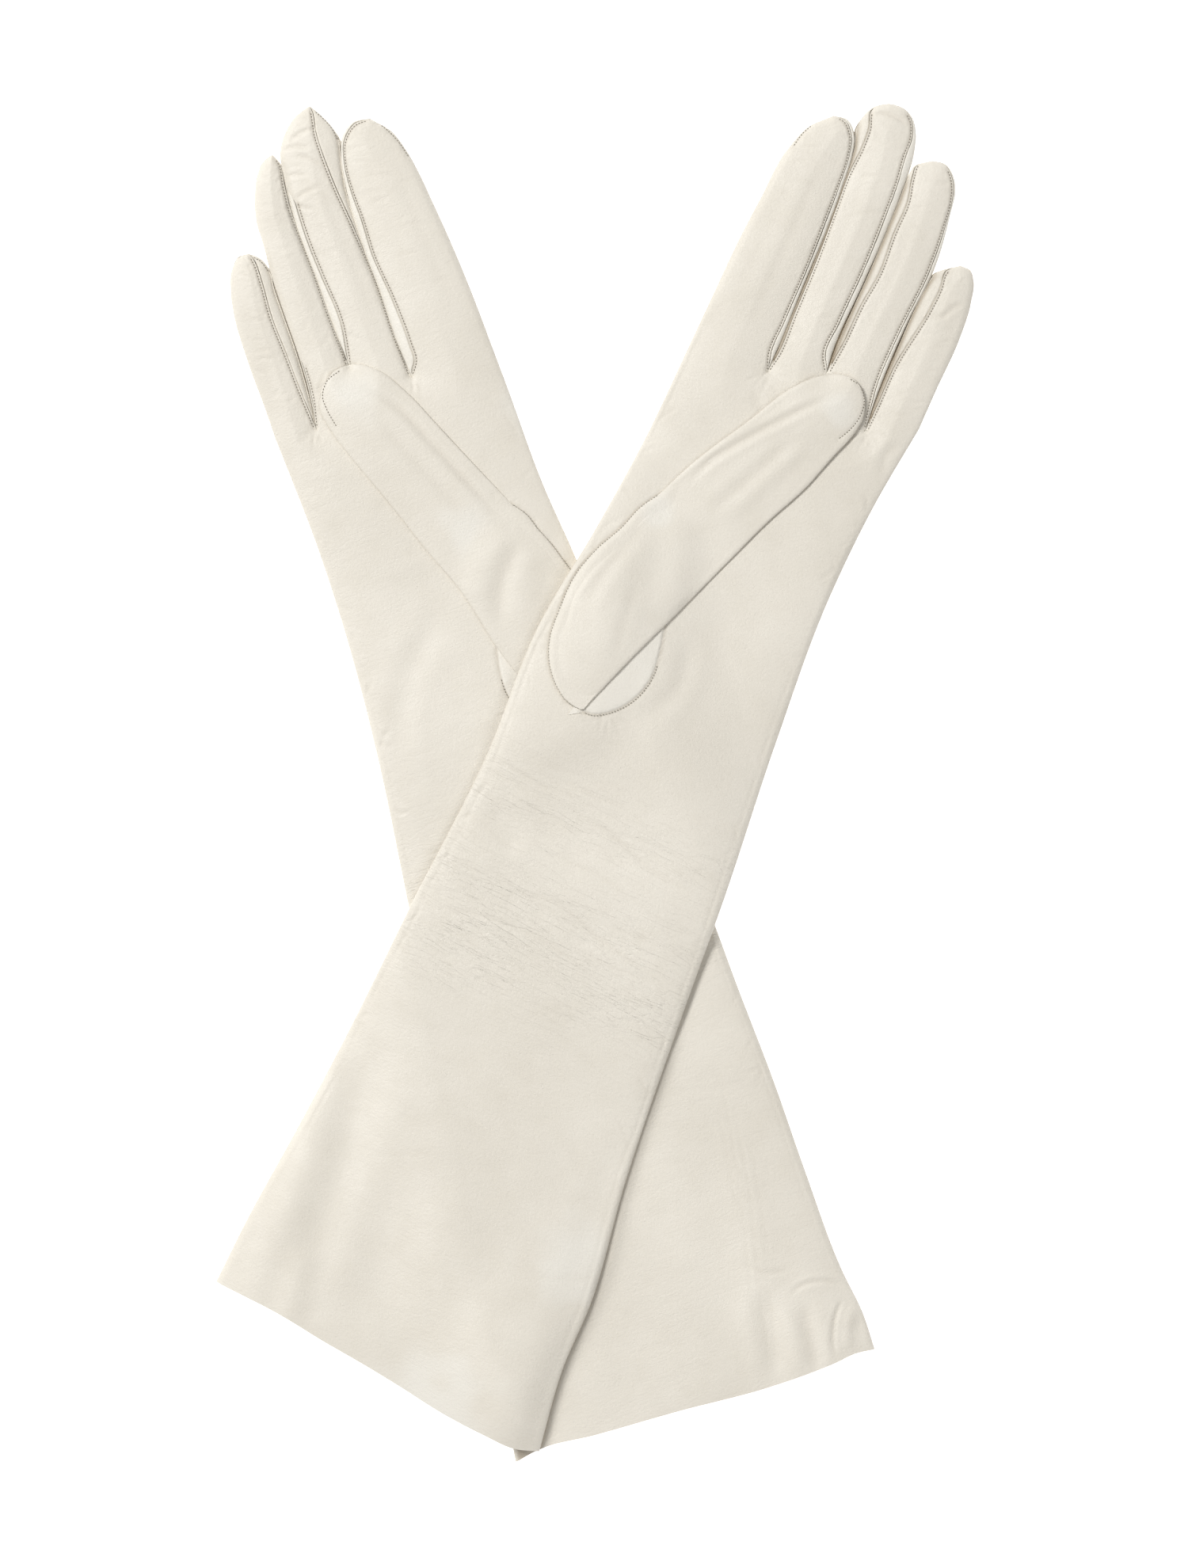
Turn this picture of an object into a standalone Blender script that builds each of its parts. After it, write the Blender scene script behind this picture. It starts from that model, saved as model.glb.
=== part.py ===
"""A pair of long leather dress gloves, lying palm up and crossed at the forearm.

Each glove is cut the way a glover cuts it: a trank (the palm half and the back half of hand and sleeve),
fourchettes between the fingers, a thumb set into an oval hole in the palm, and the sewing threads.
The right glove lies on the table. The left glove lies across it. Sizes are in millimetres, +Z is up.
"""

import math

import bmesh
import bpy
import numpy as np
from mathutils import Matrix

MM = 0.001

# The leather and the way it lies
LEATHER = 0.7  # thickness of the kid leather
GAP = 0.35  # clearance between pieces that touch
SEAM_Z = 2.2  # underside of the palm leather at a glove's edge
HAND_CROWN = 0.9  # how far the palm leather bulges above its edges
FINGER_CROWN = 0.6
MOUTH_CROWN = 2.2  # the sleeve is a little fuller at its mouth
MOUTH_LENGTH = 0.24  # share of the sleeve over which it fills out
EDGE_TURN = 1.1  # how far the back leather turns up at an edge
EDGE_FROM = 0.72  # share of the half width where it starts to turn up
RIM = 2.2  # width of a fourchette that shows beside the palm leather
THREAD = 0.5  # diameter of the sewing thread
THUMB_Z = 4.15  # underside of a thumb that lies on its palm

# The bends
HINGE_SHARE = 0.28  # place of a finger's bend, as a share of its length
HINGE_GAP = 0.4  # the cut in the leather at a bend

# The crossing
LEAN = 34.0  # length over which the left glove comes down to the table
UNDER_ARM = 5.6  # the left glove's underside over the right glove
UNDER_THUMB = 9.4  # and over the base of the right thumb

FINGERS = ("index", "middle", "ring", "little")
ROOT_SHARES = (0.0, 0.337, 0.573, 0.79, 1.0)  # the finger roots across the hand
# Outlines run from the cuff to the finger roots, and a finger is
# (tip, sideways bend, half width in the middle, half width near the tip).
GLOVES = {
    "left": {
        "radial_edge": [(-119.5, -154), (-101.5, -122.5), (-81, -85), (-58.5, -38), (-26.5, 27.5), (8, 95), (30.5, 140)],
        "ulnar_edge": [(-18, -209), (-6.5, -178), (7.5, -132), (22.5, -86), (52, -2.5), (80.5, 72.5), (102.5, 112)],
        "crotches": [(54.3, 130), (73, 128), (85, 112)],
        "cuff_bow": 4.5,
        "fingers": {
            "index": ((74.8, 211), 0.9, 12.0, 10.6),
            "middle": ((92.0, 214), 3.7, 8.2, 8.5),
            "ring": ((106.2, 196.3), 3.1, 7.9, 7.8),
            "little": ((115.4, 163), 1.0, 7.8, 6.4),
        },
        "thumb": {
            "root": [(20, 91.5), (40.5, 69)],
            "shape": ((84, 125.8), 0.0, 11.9, 10.0),
            "seam": [(20, 91.5), (4.5, 76), (-9, 61), (-14.5, 44.5), (-11, 29.5), (-3.5, 24)],
            "fold": [(40.5, 69), (25, 53.5), (11.5, 40), (-2, 25.5)],
            "hole": ((5.5, 55), (35, 12.5), 71),
        },
    },
    "right": {
        "radial_edge": [(88.5, -178), (71.5, -137.5), (58.5, -100), (39, -47.5), (16, 15), (-6.5, 72.5), (-32, 137)],
        "ulnar_edge": [(-25, -214), (-33, -172.5), (-53, -77.5), (-66, -2.5), (-87, 72.5), (-101.5, 109)],
        "crotches": [(-57.8, 128), (-77.5, 130), (-87.3, 112)],
        "cuff_bow": 0.5,
        "fingers": {
            "index": ((-70.6, 209.5), 2.0, 12.2, 10.2),
            "middle": ((-89.3, 213.5), 3.6, 7.8, 8.8),
            "ring": ((-101.8, 198.3), 4.0, 6.2, 5.0),
            "little": ((-109.5, 167), 3.0, 6.8, 5.4),
        },
        "thumb": {
            "root": [(-26.5, 88.5), (-48.3, 69.3)],
            "shape": ((-85, 127.8), 0.0, 11.9, 10.0),
            "seam": [(-26.5, 88.5), (-13, 75), (-4, 60), (0, 45), (-4, 29.5), (-12.5, 21.5)],
            "fold": [(-48.3, 69.3), (-34.3, 51), (-24.3, 34.5), (-14, 22)],
            "hole": ((-15.5, 51.5), (35, 12.5), 103.5),
        },
    },
}

# Moves the pair so that the middle of its outline is at the origin
CENTRING = (-0.07, 0.29)

COLOURS = {
    "leather": ((0.80, 0.74, 0.65), 0.48),
    "inner_leather": ((0.83, 0.78, 0.70), 0.55),
    "thread": ((0.42, 0.37, 0.29), 0.7),
}


# Curves and shapes


def ease(x):
    x = np.clip(x, 0, 1)
    return x * x * (3 - 2 * x)


def along(points, share):
    """The points at these shares of the length of a smooth curve through the given points."""
    points = np.array(points, float)
    knots = np.concatenate([[0], np.cumsum(np.linalg.norm(np.diff(points, axis=0), axis=1))])
    knots /= knots[-1]
    slopes = np.gradient(points, knots, axis=0)
    share = np.atleast_1d(share).astype(float)
    i = np.clip(np.searchsorted(knots, share, "right") - 1, 0, len(points) - 2)
    span = (knots[i + 1] - knots[i])[:, None]
    u = (share[:, None] - knots[i][:, None]) / span
    return (
        (2 * u**3 - 3 * u**2 + 1) * points[i]
        + (u**3 - 2 * u**2 + u) * span * slopes[i]
        + (3 * u**2 - 2 * u**3) * points[i + 1]
        + (u**3 - u**2) * span * slopes[i + 1]
    )


def away_from(points, line):
    """How far each point is from a line of straight runs."""
    line = np.array(line, float)
    best = np.full(len(points), np.inf)
    for a, b in zip(line[:-1], line[1:]):
        d = b - a
        u = np.clip(((points - a) @ d) / (d @ d), 0, 1)
        best = np.minimum(best, np.linalg.norm(points - a - u[:, None] * d, axis=1))
    return best


class Glove:
    """The plan of one glove. Shares across it run from its radial (index) side to its ulnar side."""

    def __init__(self, side):
        self.side = side
        self.plan = GLOVES[side]
        ends = [along(self.plan[edge], 1.0)[0] for edge in ("radial_edge", "ulnar_edge")]
        self.roots = np.array([ends[0], *self.plan["crotches"], ends[1]], float)

    def hand(self, up, across):
        """A point of the hand and sleeve: up runs from the cuff (0) to the finger roots (1)."""
        up, across = np.broadcast_arrays(np.atleast_1d(up).astype(float), np.atleast_1d(across))
        radial = along(self.plan["radial_edge"], up)
        ulnar = along(self.plan["ulnar_edge"], up)
        points = radial + (ulnar - radial) * across[:, None]
        cuff = self.roots[0] - self.plan["radial_edge"][0]
        outward = -cuff / np.linalg.norm(cuff)
        bow = self.plan["cuff_bow"] * 4 * across * (1 - across) * (1 - ease(up / 0.2))
        straight = self.roots[0] + (self.roots[-1] - self.roots[0]) * across[:, None]
        stepped = np.stack([np.interp(across, ROOT_SHARES, self.roots[:, k]) for k in (0, 1)], axis=1)
        return points + bow[:, None] * outward + (stepped - straight) * ease((up - 0.72) / 0.28)[:, None]

    def finger(self, name, up, across):
        """A point of a finger or the thumb: up from its root (0) to its tip (1), across from -1 to 1."""
        if name == "thumb":
            first, last = (np.array(p, float) for p in self.plan["thumb"]["root"])
            tip, bend, middle, end = self.plan["thumb"]["shape"]
        else:
            k = FINGERS.index(name)
            first, last = self.roots[k], self.roots[k + 1]
            tip, bend, middle, end = self.plan["fingers"][name]
        start, tip = (first + last) / 2, np.array(tip, float)
        length = np.linalg.norm(tip - start)
        ahead = (tip - start) / length
        side = np.array([-ahead[1], ahead[0]])
        side *= np.sign(side @ (last - first))
        up, across = np.broadcast_arrays(np.atleast_1d(up).astype(float), np.atleast_1d(across))
        root = np.linalg.norm(last - first) / 2
        round_from = 1 - end / length
        width = root + (middle - root) * ease(up / 0.5) + (end - middle) * ease((up - 0.5) / (round_from - 0.5))
        width *= np.sqrt(1 - np.clip((up - round_from) / (1 - round_from), 0, 1) ** 2)
        turn = ease(up / 0.3)[:, None]
        row = (last - first) / (2 * root) * (1 - turn) + side * turn
        centre = start + np.outer(up, tip - start) + side * (bend * np.sin(math.pi * up**1.3))[:, None]
        return centre + row * (width * across)[:, None]

    def length(self, name):
        return float(np.linalg.norm(self.finger(name, 1, 0)[0] - self.finger(name, 0, 0)[0]))

    def lift(self, points):
        """How high the table or the glove beneath holds these points."""
        if self.side == "right":
            return np.zeros(len(points))
        other = GLOVES["right"]
        radial = np.array(other["radial_edge"], float)[1:6]
        ulnar = along(other["ulnar_edge"], np.linspace(0.1, 0.93, 5))
        middle = (radial + ulnar) / 2
        half = np.linalg.norm(radial - ulnar, axis=1) / 2
        off_arm = away_from(points, middle) - half.max()
        base = [*other["thumb"]["seam"][1:5]]
        off_thumb = away_from(points, base) - 12
        arm = UNDER_ARM * (1 - ease(off_arm / LEAN))
        thumb = UNDER_THUMB * (1 - ease(off_thumb / LEAN))
        return np.maximum(arm, thumb)


def back_height(across, turned=(-1, 1)):
    """Height of the back leather's underside: flat on the table, turned up at its folded edges."""
    edge = EDGE_TURN * ease((np.abs(across) - EDGE_FROM) / (1 - EDGE_FROM))
    return np.where(np.isin(np.sign(across), turned), edge, 0)


def palm_height(across, crown):
    return SEAM_Z + crown * (1 - np.abs(across) ** 3)


# Meshes and objects


def material(slot):
    found = bpy.data.materials.get(slot)
    if found is None:
        (red, green, blue), roughness = COLOURS[slot]
        found = bpy.data.materials.new(slot)
        found.use_nodes = True
        shader = found.node_tree.nodes["Principled BSDF"]
        shader.inputs["Base Color"].default_value = (red, green, blue, 1)
        shader.inputs["Roughness"].default_value = roughness
        shader.inputs["Metallic"].default_value = 0
    return found


def put(name, mesh, slot, parent, origin):
    """Makes the object of a mesh in world millimetres. Its origin is set at its own bend."""
    mesh.transform(Matrix.Scale(MM, 4))
    mesh.transform(Matrix.Translation([-x * MM for x in origin]))
    mesh.materials.append(material(slot))
    obj = bpy.data.objects.new(name, mesh)
    bpy.context.collection.objects.link(obj)
    obj.parent = parent
    obj.location = [x * MM - y for x, y in zip(origin, parent.matrix_world.translation)]
    return obj


def grid_faces(rows, columns):
    return [
        (r * columns + c, r * columns + c + 1, (r + 1) * columns + c + 1, (r + 1) * columns + c)
        for r in range(rows - 1)
        for c in range(columns - 1)
    ]


def leather(name, points, faces, slot, parent, origin, thickness=LEATHER, side=1.0, face_up=True):
    """A piece of leather: a surface through the points, made solid on its upper side."""
    mesh = bpy.data.meshes.new(name)
    mesh.from_pydata([tuple(map(float, p)) for p in points], [], faces)
    built = bmesh.new()
    built.from_mesh(mesh)
    bmesh.ops.recalc_face_normals(built, faces=built.faces)
    if face_up and sum(f.normal.z * f.calc_area() for f in built.faces) < 0:
        bmesh.ops.reverse_faces(built, faces=built.faces)
    built.to_mesh(mesh)
    built.free()
    obj = put(name, mesh, slot, parent, origin)
    solid = obj.modifiers.new("thickness", "SOLIDIFY")
    solid.thickness = thickness * MM
    solid.offset = side
    solid.use_rim = True
    solid.use_even_offset = False
    return obj


def thread(name, points, parent, origin):
    """A run of sewing thread through these points."""
    curve = bpy.data.curves.new(name, "CURVE")
    curve.dimensions = "3D"
    curve.bevel_depth = THREAD / 2 * MM
    curve.bevel_resolution = 1
    curve.use_fill_caps = True
    spline = curve.splines.new("POLY")
    spline.points.add(len(points) - 1)
    for point, place in zip(spline.points, points):
        point.co = (*((x - y) * MM for x, y in zip(place, origin)), 1)
    curve.materials.append(material("thread"))
    obj = bpy.data.objects.new(name, curve)
    bpy.context.collection.objects.link(obj)
    obj.parent = parent
    obj.location = [x * MM - y for x, y in zip(origin, parent.matrix_world.translation)]
    return obj


def empty(name, parent=None, place=(0, 0, 0)):
    obj = bpy.data.objects.new(name, None)
    bpy.context.collection.objects.link(obj)
    obj.location = [x * MM for x in place]
    if parent is not None:
        obj.location = [x * MM - y for x, y in zip(place, parent.matrix_world.translation)]
        obj.parent = parent
    bpy.context.view_layer.update()
    return obj


# The pieces of a glove


def sewn_sides(finger):
    """The sides of a finger that carry a fourchette: -1 radial, 1 ulnar."""
    return {"index": (1,), "middle": (-1, 1), "ring": (-1, 1), "little": (-1,), "thumb": ()}[finger]


def folded_sides(finger):
    return [side for side in (-1, 1) if side not in sewn_sides(finger)]


def strip_edge(glove, finger, side, up):
    """Where the palm or back leather ends across a finger, as a share of its half width."""
    if side not in sewn_sides(finger):
        return np.full(len(up), float(side))
    width = np.linalg.norm(glove.finger(finger, up, 1) - glove.finger(finger, up, -1), axis=1) / 2
    return side * (1 - np.clip(RIM * ease(up / (HINGE_SHARE * 0.8)) / width, 0, 0.6))


def strip_grid(glove, finger, ups, columns, height):
    """Points of a finger's palm or back leather, row by row, with their heights."""
    low, high = (strip_edge(glove, finger, side, ups) for side in (-1, 1))
    rows = []
    for k, up in enumerate(ups):
        across = np.linspace(low[k], high[k], columns)
        plan = glove.finger(finger, np.full(columns, up), across)
        rows.append(np.column_stack([plan, height(across) + glove.lift(plan)]))
    return np.concatenate(rows)


def hand_sheet(glove, name, height, finger_height, parent, origin):
    """One half of the trank up to the bends of the fingers, with the slits between the fingers."""
    columns_per_finger = 3
    columns = columns_per_finger * len(FINGERS) + 1
    shares = np.interp(np.arange(columns) / columns_per_finger, range(5), ROOT_SHARES)
    # rows lie closer where the sleeve opens and at the finger roots
    ups = np.concatenate([np.linspace(0, 0.24, 5), np.linspace(0.3, 0.84, 10), np.linspace(0.88, 1, 4)])
    points, faces = [], grid_faces(len(ups), columns)
    for up in ups:
        plan = glove.hand(np.full(columns, up), shares)
        across = 2 * shares - 1
        hand_part = height(up, across)
        at_fingers = np.abs(np.interp(np.arange(columns) % columns_per_finger, (0, 1.5, 3), (-1, 0, 1)))
        finger_part = finger_height("middle", at_fingers)
        mix = 0.5 * ease((up - 0.9) / 0.1)
        points += np.column_stack([plan, hand_part * (1 - mix) + finger_part * mix + glove.lift(plan)]).tolist()
    top_row = len(points) - columns
    for k, finger in enumerate(FINGERS):
        last = HINGE_SHARE - HINGE_GAP / 2 / glove.length(finger)
        stub = np.linspace(0, last, 4)[1:]
        first_column = top_row + k * columns_per_finger
        grid = strip_grid(glove, finger, stub, columns_per_finger + 1, lambda a, f=finger: finger_height(f, a))
        start = len(points)
        points += grid.tolist()
        width = columns_per_finger + 1
        for c in range(width - 1):
            faces.append((first_column + c, first_column + c + 1, start + c + 1, start + c))
        faces += [tuple(start + i for i in face) for face in grid_faces(len(stub), width)]
    return leather(name, points, faces, "leather", parent, origin)


def cut_oval(sheet, centre, half, turn, height):
    """Cuts the oval thumb hole through a sheet."""
    mesh = bpy.data.meshes.new(sheet.name + "_hole")
    built = bmesh.new()
    bmesh.ops.create_cone(built, cap_ends=True, segments=20, radius1=1, radius2=1, depth=height)
    built.to_mesh(mesh)
    built.free()
    cutter = bpy.data.objects.new(sheet.name + "_hole", mesh)
    bpy.context.collection.objects.link(cutter)
    shape = Matrix.Diagonal((half[0] * MM, half[1] * MM, MM, 1))
    mesh.transform(Matrix.Rotation(math.radians(turn), 4, "Z") @ shape)
    cutter.location = (centre[0] * MM, centre[1] * MM, 0)
    cutter.hide_render = True
    cutter.display_type = "WIRE"
    cut = sheet.modifiers.new("thumb_hole", "BOOLEAN")
    cut.operation = "DIFFERENCE"
    cut.solver = "EXACT"
    cut.object = cutter


def finger_ups(glove, finger, rows):
    """Shares of a finger's length for its rows past the bend, closer together towards the tip."""
    first = HINGE_SHARE + HINGE_GAP / 2 / glove.length(finger)
    return first + (0.985 - first) * np.sin(np.linspace(0, math.pi / 2, rows))


def fourchette(glove, finger, side, parent, origin):
    """The side wall of a finger past its bend, folded outward between palm and back leather."""
    ups = finger_ups(glove, finger, 8)
    ups = ups[ups < 0.96]
    edge = strip_edge(glove, finger, side, ups)
    name = f"{glove.side}_{finger}_fourchette_{'ulnar' if side > 0 else 'radial'}"
    profile = ((0, SEAM_Z + 0.35), (0.55, SEAM_Z + 0.15), (0.95, 1.45), (0.55, 0.7), (0, 0.4))
    points = []
    for k, up in enumerate(ups):
        inner = glove.finger(finger, up, edge[k])[0]
        outer = glove.finger(finger, up, side)[0]
        out = (outer - inner) / np.linalg.norm(outer - inner)
        for share, z in profile:
            place = inner + out * (GAP + share * max(np.linalg.norm(outer - inner) - GAP - 0.3, 0.4))
            points.append((*place, z + glove.lift(place[None])[0]))
    return leather(
        name, points, grid_faces(len(ups), len(profile)), "inner_leather", parent, origin, 0.5, 0.0, False
    )


def fork_root(glove, first, second, parent, origin):
    """The fork where two fourchettes meet: a band that stands between palm and back round the crotch."""
    k = FINGERS.index(second)
    crotch = glove.roots[k]
    ups = np.linspace(HINGE_SHARE - 0.03, 0.07, 5)
    sides = []
    for finger, side in ((first, 1), (second, -1)):
        edge = strip_edge(glove, finger, side, ups) - side * 0.14
        sides.append(np.array([glove.finger(finger, up, e)[0] for up, e in zip(ups, edge)]))
    back = crotch - (glove.finger(second, 0.2, -1)[0] - crotch) * 0.12
    path = np.array([*sides[0], back, *sides[1][::-1]])
    low, high = LEATHER + GAP, SEAM_Z - GAP
    points = [(*p, z + glove.lift(p[None])[0]) for p in path for z in (low, high)]
    name = f"{glove.side}_{first}_{second}_fork"
    return leather(name, points, grid_faces(len(path), 2), "inner_leather", parent, origin, 0.5, 0.0, False)


def finger_thread(glove, finger, parent, origin):
    """The seam that joins the palm leather to the fourchettes, past the bend and round the tip."""
    ups = finger_ups(glove, finger, 9)[:-1]
    route = []
    for side, order in ((-1, 1), (1, -1)):
        if side in sewn_sides(finger):
            edge = strip_edge(glove, finger, side, ups)
            places = [glove.finger(finger, up, e - side * 0.09)[0] for up, e in zip(ups, edge)]
            route += places[::order]
    points = []
    for place in route:
        points.append((*place, SEAM_Z + FINGER_CROWN + LEATHER + GAP + THREAD / 2 + glove.lift(place[None])[0]))
    return thread(f"{glove.side}_{finger}_seam_thread", points, parent, origin)


def make_finger(glove, finger, hand):
    hinge = glove.finger(finger, HINGE_SHARE, 0)[0]
    origin = (*hinge, SEAM_Z + FINGER_CROWN + LEATHER + glove.lift(hinge[None])[0])
    bend = empty(f"{glove.side}_{finger}_bend", hand, origin)
    ups = finger_ups(glove, finger, 9)
    columns = 5
    faces = grid_faces(len(ups), columns)
    halves = {
        "palm": lambda across: palm_height(across, FINGER_CROWN),
        "back": lambda across: back_height(across, folded_sides(finger)),
    }
    for half, height in halves.items():
        points = strip_grid(glove, finger, ups, columns, height)
        leather(f"{glove.side}_{finger}_{half}_strip", points, faces, "leather", bend, origin)
    for side in sewn_sides(finger):
        fourchette(glove, finger, side, bend, origin)
    finger_thread(glove, finger, bend, origin)


def make_thumb(glove, hand, origin):
    plan = glove.plan["thumb"]
    root = glove.finger("thumb", 0, 0)[0]
    lift = glove.lift(np.array([root, *plan["root"]])).max()
    hinge = (*root, THUMB_Z + SEAM_Z + FINGER_CROWN + LEATHER + lift)
    bend = empty(f"{glove.side}_thumb_bend", hand, hinge)
    first = HINGE_GAP / 2 / glove.length("thumb")
    ups = first + (0.985 - first) * np.sin(np.linspace(0, math.pi / 2, 9))
    columns = 5
    across = np.linspace(-1, 1, columns)
    heights = {
        "front": palm_height(across, FINGER_CROWN),
        "back": back_height(across),
    }
    for half, height in heights.items():
        points = []
        for up in ups:
            plan_row = glove.finger("thumb", np.full(columns, up), across)
            points += np.column_stack([plan_row, height + THUMB_Z + lift]).tolist()
        leather(f"{glove.side}_thumb_{half}", points, grid_faces(len(ups), columns), "leather", bend, hinge)
    # the flare between the thumb's bend and the seam in the palm
    shares = np.linspace(0.02, 0.93, 8)
    outer, inner = along(plan["seam"], shares), along(plan["fold"], shares)
    points = []
    for a, b in zip(outer, inner):
        for r in (0, 0.35, 0.7, 1.0):
            place = a + (b - a) * r
            rise = THUMB_Z + 0.15 + (SEAM_Z - 0.2) * math.sin(math.pi / 2 * min(1, r * 1.4))
            points.append((*place, rise + glove.lift(place[None])[0]))
    leather(f"{glove.side}_thumb_base", points, grid_faces(len(outer), 4), "leather", hand, origin)
    # the gusset that closes the oval hole under the folded thumb
    (centre, half, turn) = plan["hole"]
    points = []
    turn = math.radians(turn)
    along_hole = np.array([math.cos(turn), math.sin(turn)])
    across_hole = np.array([-along_hole[1], along_hole[0]])
    angles = np.linspace(-math.pi / 2, math.pi / 2, 11)
    for angle in angles:
        x = (half[0] - GAP - 0.6) * math.sin(angle)
        reach = (half[1] - GAP - 0.6) * max(math.cos(angle), 0.12)
        for y in (-reach, 0, reach):
            place = np.array(centre) + along_hole * x + across_hole * y
            points.append((*place, SEAM_Z + HAND_CROWN + glove.lift(place[None])[0]))
    name = f"{glove.side}_thumb_gusset"
    leather(name, points, grid_faces(len(angles), 3), "inner_leather", hand, origin)
    # the seam round the base of the thumb
    places = along(plan["seam"], np.linspace(0.06, 0.9, 12))
    inward = (np.array(centre) - places) / np.linalg.norm(np.array(centre) - places, axis=1)[:, None]
    route = [
        (*p, THUMB_Z + 0.15 + LEATHER + GAP + THREAD + glove.lift(p[None])[0]) for p in places + inward * 0.8
    ]
    thread(f"{glove.side}_thumb_seam_thread", route, hand, origin)


def make_glove(side, root=None):
    glove = Glove(side)
    place = (*glove.hand(0.5, 0.5)[0], 0)
    hand = empty(f"{side}_hand", root, place)
    palm = hand_sheet(
        glove,
        f"{side}_palm_leather",
        lambda up, across: palm_height(
            across, HAND_CROWN + (MOUTH_CROWN - HAND_CROWN) * (1 - ease(up / MOUTH_LENGTH))
        ),
        lambda finger, across: palm_height(across, FINGER_CROWN),
        hand,
        place,
    )
    cut_oval(palm, *glove.plan["thumb"]["hole"], height=60)
    hand_sheet(
        glove,
        f"{side}_back_leather",
        lambda up, across: back_height(across),
        lambda finger, across: back_height(across, folded_sides(finger)),
        hand,
        place,
    )
    for first, second in zip(FINGERS[:-1], FINGERS[1:]):
        fork_root(glove, first, second, hand, place)
    for finger in FINGERS:
        make_finger(glove, finger, hand)
    make_thumb(glove, hand, place)
    return hand


def main():
    for obj in list(bpy.data.objects):
        bpy.data.objects.remove(obj)
    right = make_glove("right")
    make_glove("left", right)
    right.location.x += CENTRING[0] * MM
    right.location.y += CENTRING[1] * MM
    bpy.context.view_layer.update()


main()
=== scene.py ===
"""The looks of the pair of opera gloves: cut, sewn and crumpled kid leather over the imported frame.

Lengths are in millimetres until a mesh is made. A glove's plan is drawn by its outlines and its seams. One
height field gives the top of its leather, another the underside, and every panel is a grid laid on them.
"""

import math

import bpy
import numpy as np
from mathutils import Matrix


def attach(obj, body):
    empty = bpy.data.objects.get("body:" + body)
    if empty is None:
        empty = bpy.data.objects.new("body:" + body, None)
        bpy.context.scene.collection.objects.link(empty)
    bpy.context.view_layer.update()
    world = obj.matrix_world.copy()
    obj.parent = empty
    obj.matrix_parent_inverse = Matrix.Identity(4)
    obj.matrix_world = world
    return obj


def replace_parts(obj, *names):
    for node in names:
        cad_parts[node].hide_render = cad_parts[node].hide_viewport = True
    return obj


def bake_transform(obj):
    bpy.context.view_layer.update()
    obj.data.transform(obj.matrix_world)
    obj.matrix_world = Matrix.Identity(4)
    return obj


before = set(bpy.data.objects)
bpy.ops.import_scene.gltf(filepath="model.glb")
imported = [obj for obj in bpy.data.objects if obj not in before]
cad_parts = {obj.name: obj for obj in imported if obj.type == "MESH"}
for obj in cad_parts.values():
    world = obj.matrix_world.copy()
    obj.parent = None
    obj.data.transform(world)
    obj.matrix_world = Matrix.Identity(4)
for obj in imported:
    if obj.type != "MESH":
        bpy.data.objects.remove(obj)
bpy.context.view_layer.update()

MM = 0.001
SHIFT = np.array([-0.07, 0.29])  # the frame's origin against the drawing's
KID = 0.55  # thickness of the leather
LINING_KID = 0.4  # of a fourchette
GUSSET_KID = 0.3  # of a gusset and of a crotch's fold
EDGE_Z = 0.95  # height of a folded edge's outermost line
EDGE_RISE = 0.85  # from there to the top of its round
EDGE_ROUND = 2.1  # width of that round
CROWN = 1.9  # how far a panel rises above its edges
CROWN_REACH = 6.5  # and how far in from them
MOUTH = 1.9  # how far the sleeve stands open at its mouth
MOUTH_REACH = 85  # and how far from the mouth that starts
LIFT_ARM = 5.0  # the left glove over the right sleeve
LIFT_THUMB = 6.8  # and over the right thumb
LEAN = 34.0  # length over which it comes down to the table
CORNER = (-15.0, -197.0)  # of the left cuff, which stands up
CORNER_RISE = 1.9
SHADED_CORNER = (-25.0, -213.0)  # of the right cuff, under the other, where painted shade darkens it
SWELLING = 1.15  # of the right sleeve where the other's edge rests on it
PITCH = 0.95  # of the stitches
THREAD_SIDES = 6
# how finely each kind of panel is divided
HAND_ROWS = 520
FINGER_ROWS = 120
FOURCHETTE_COLUMNS = 19
THUMB_ROWS = 190
THUMB_COLUMNS = 56
GUSSET_ROWS = 70
UNDER_COLUMNS = 24
FINGERS = ("index", "middle", "ring", "little")
COLUMNS = {"index": 58, "middle": 44, "ring": 42, "little": 42}
ROOT_SHARES = (0.0, 0.337, 0.573, 0.79, 1.0)  # of the width, where one finger ends and the next begins

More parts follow.
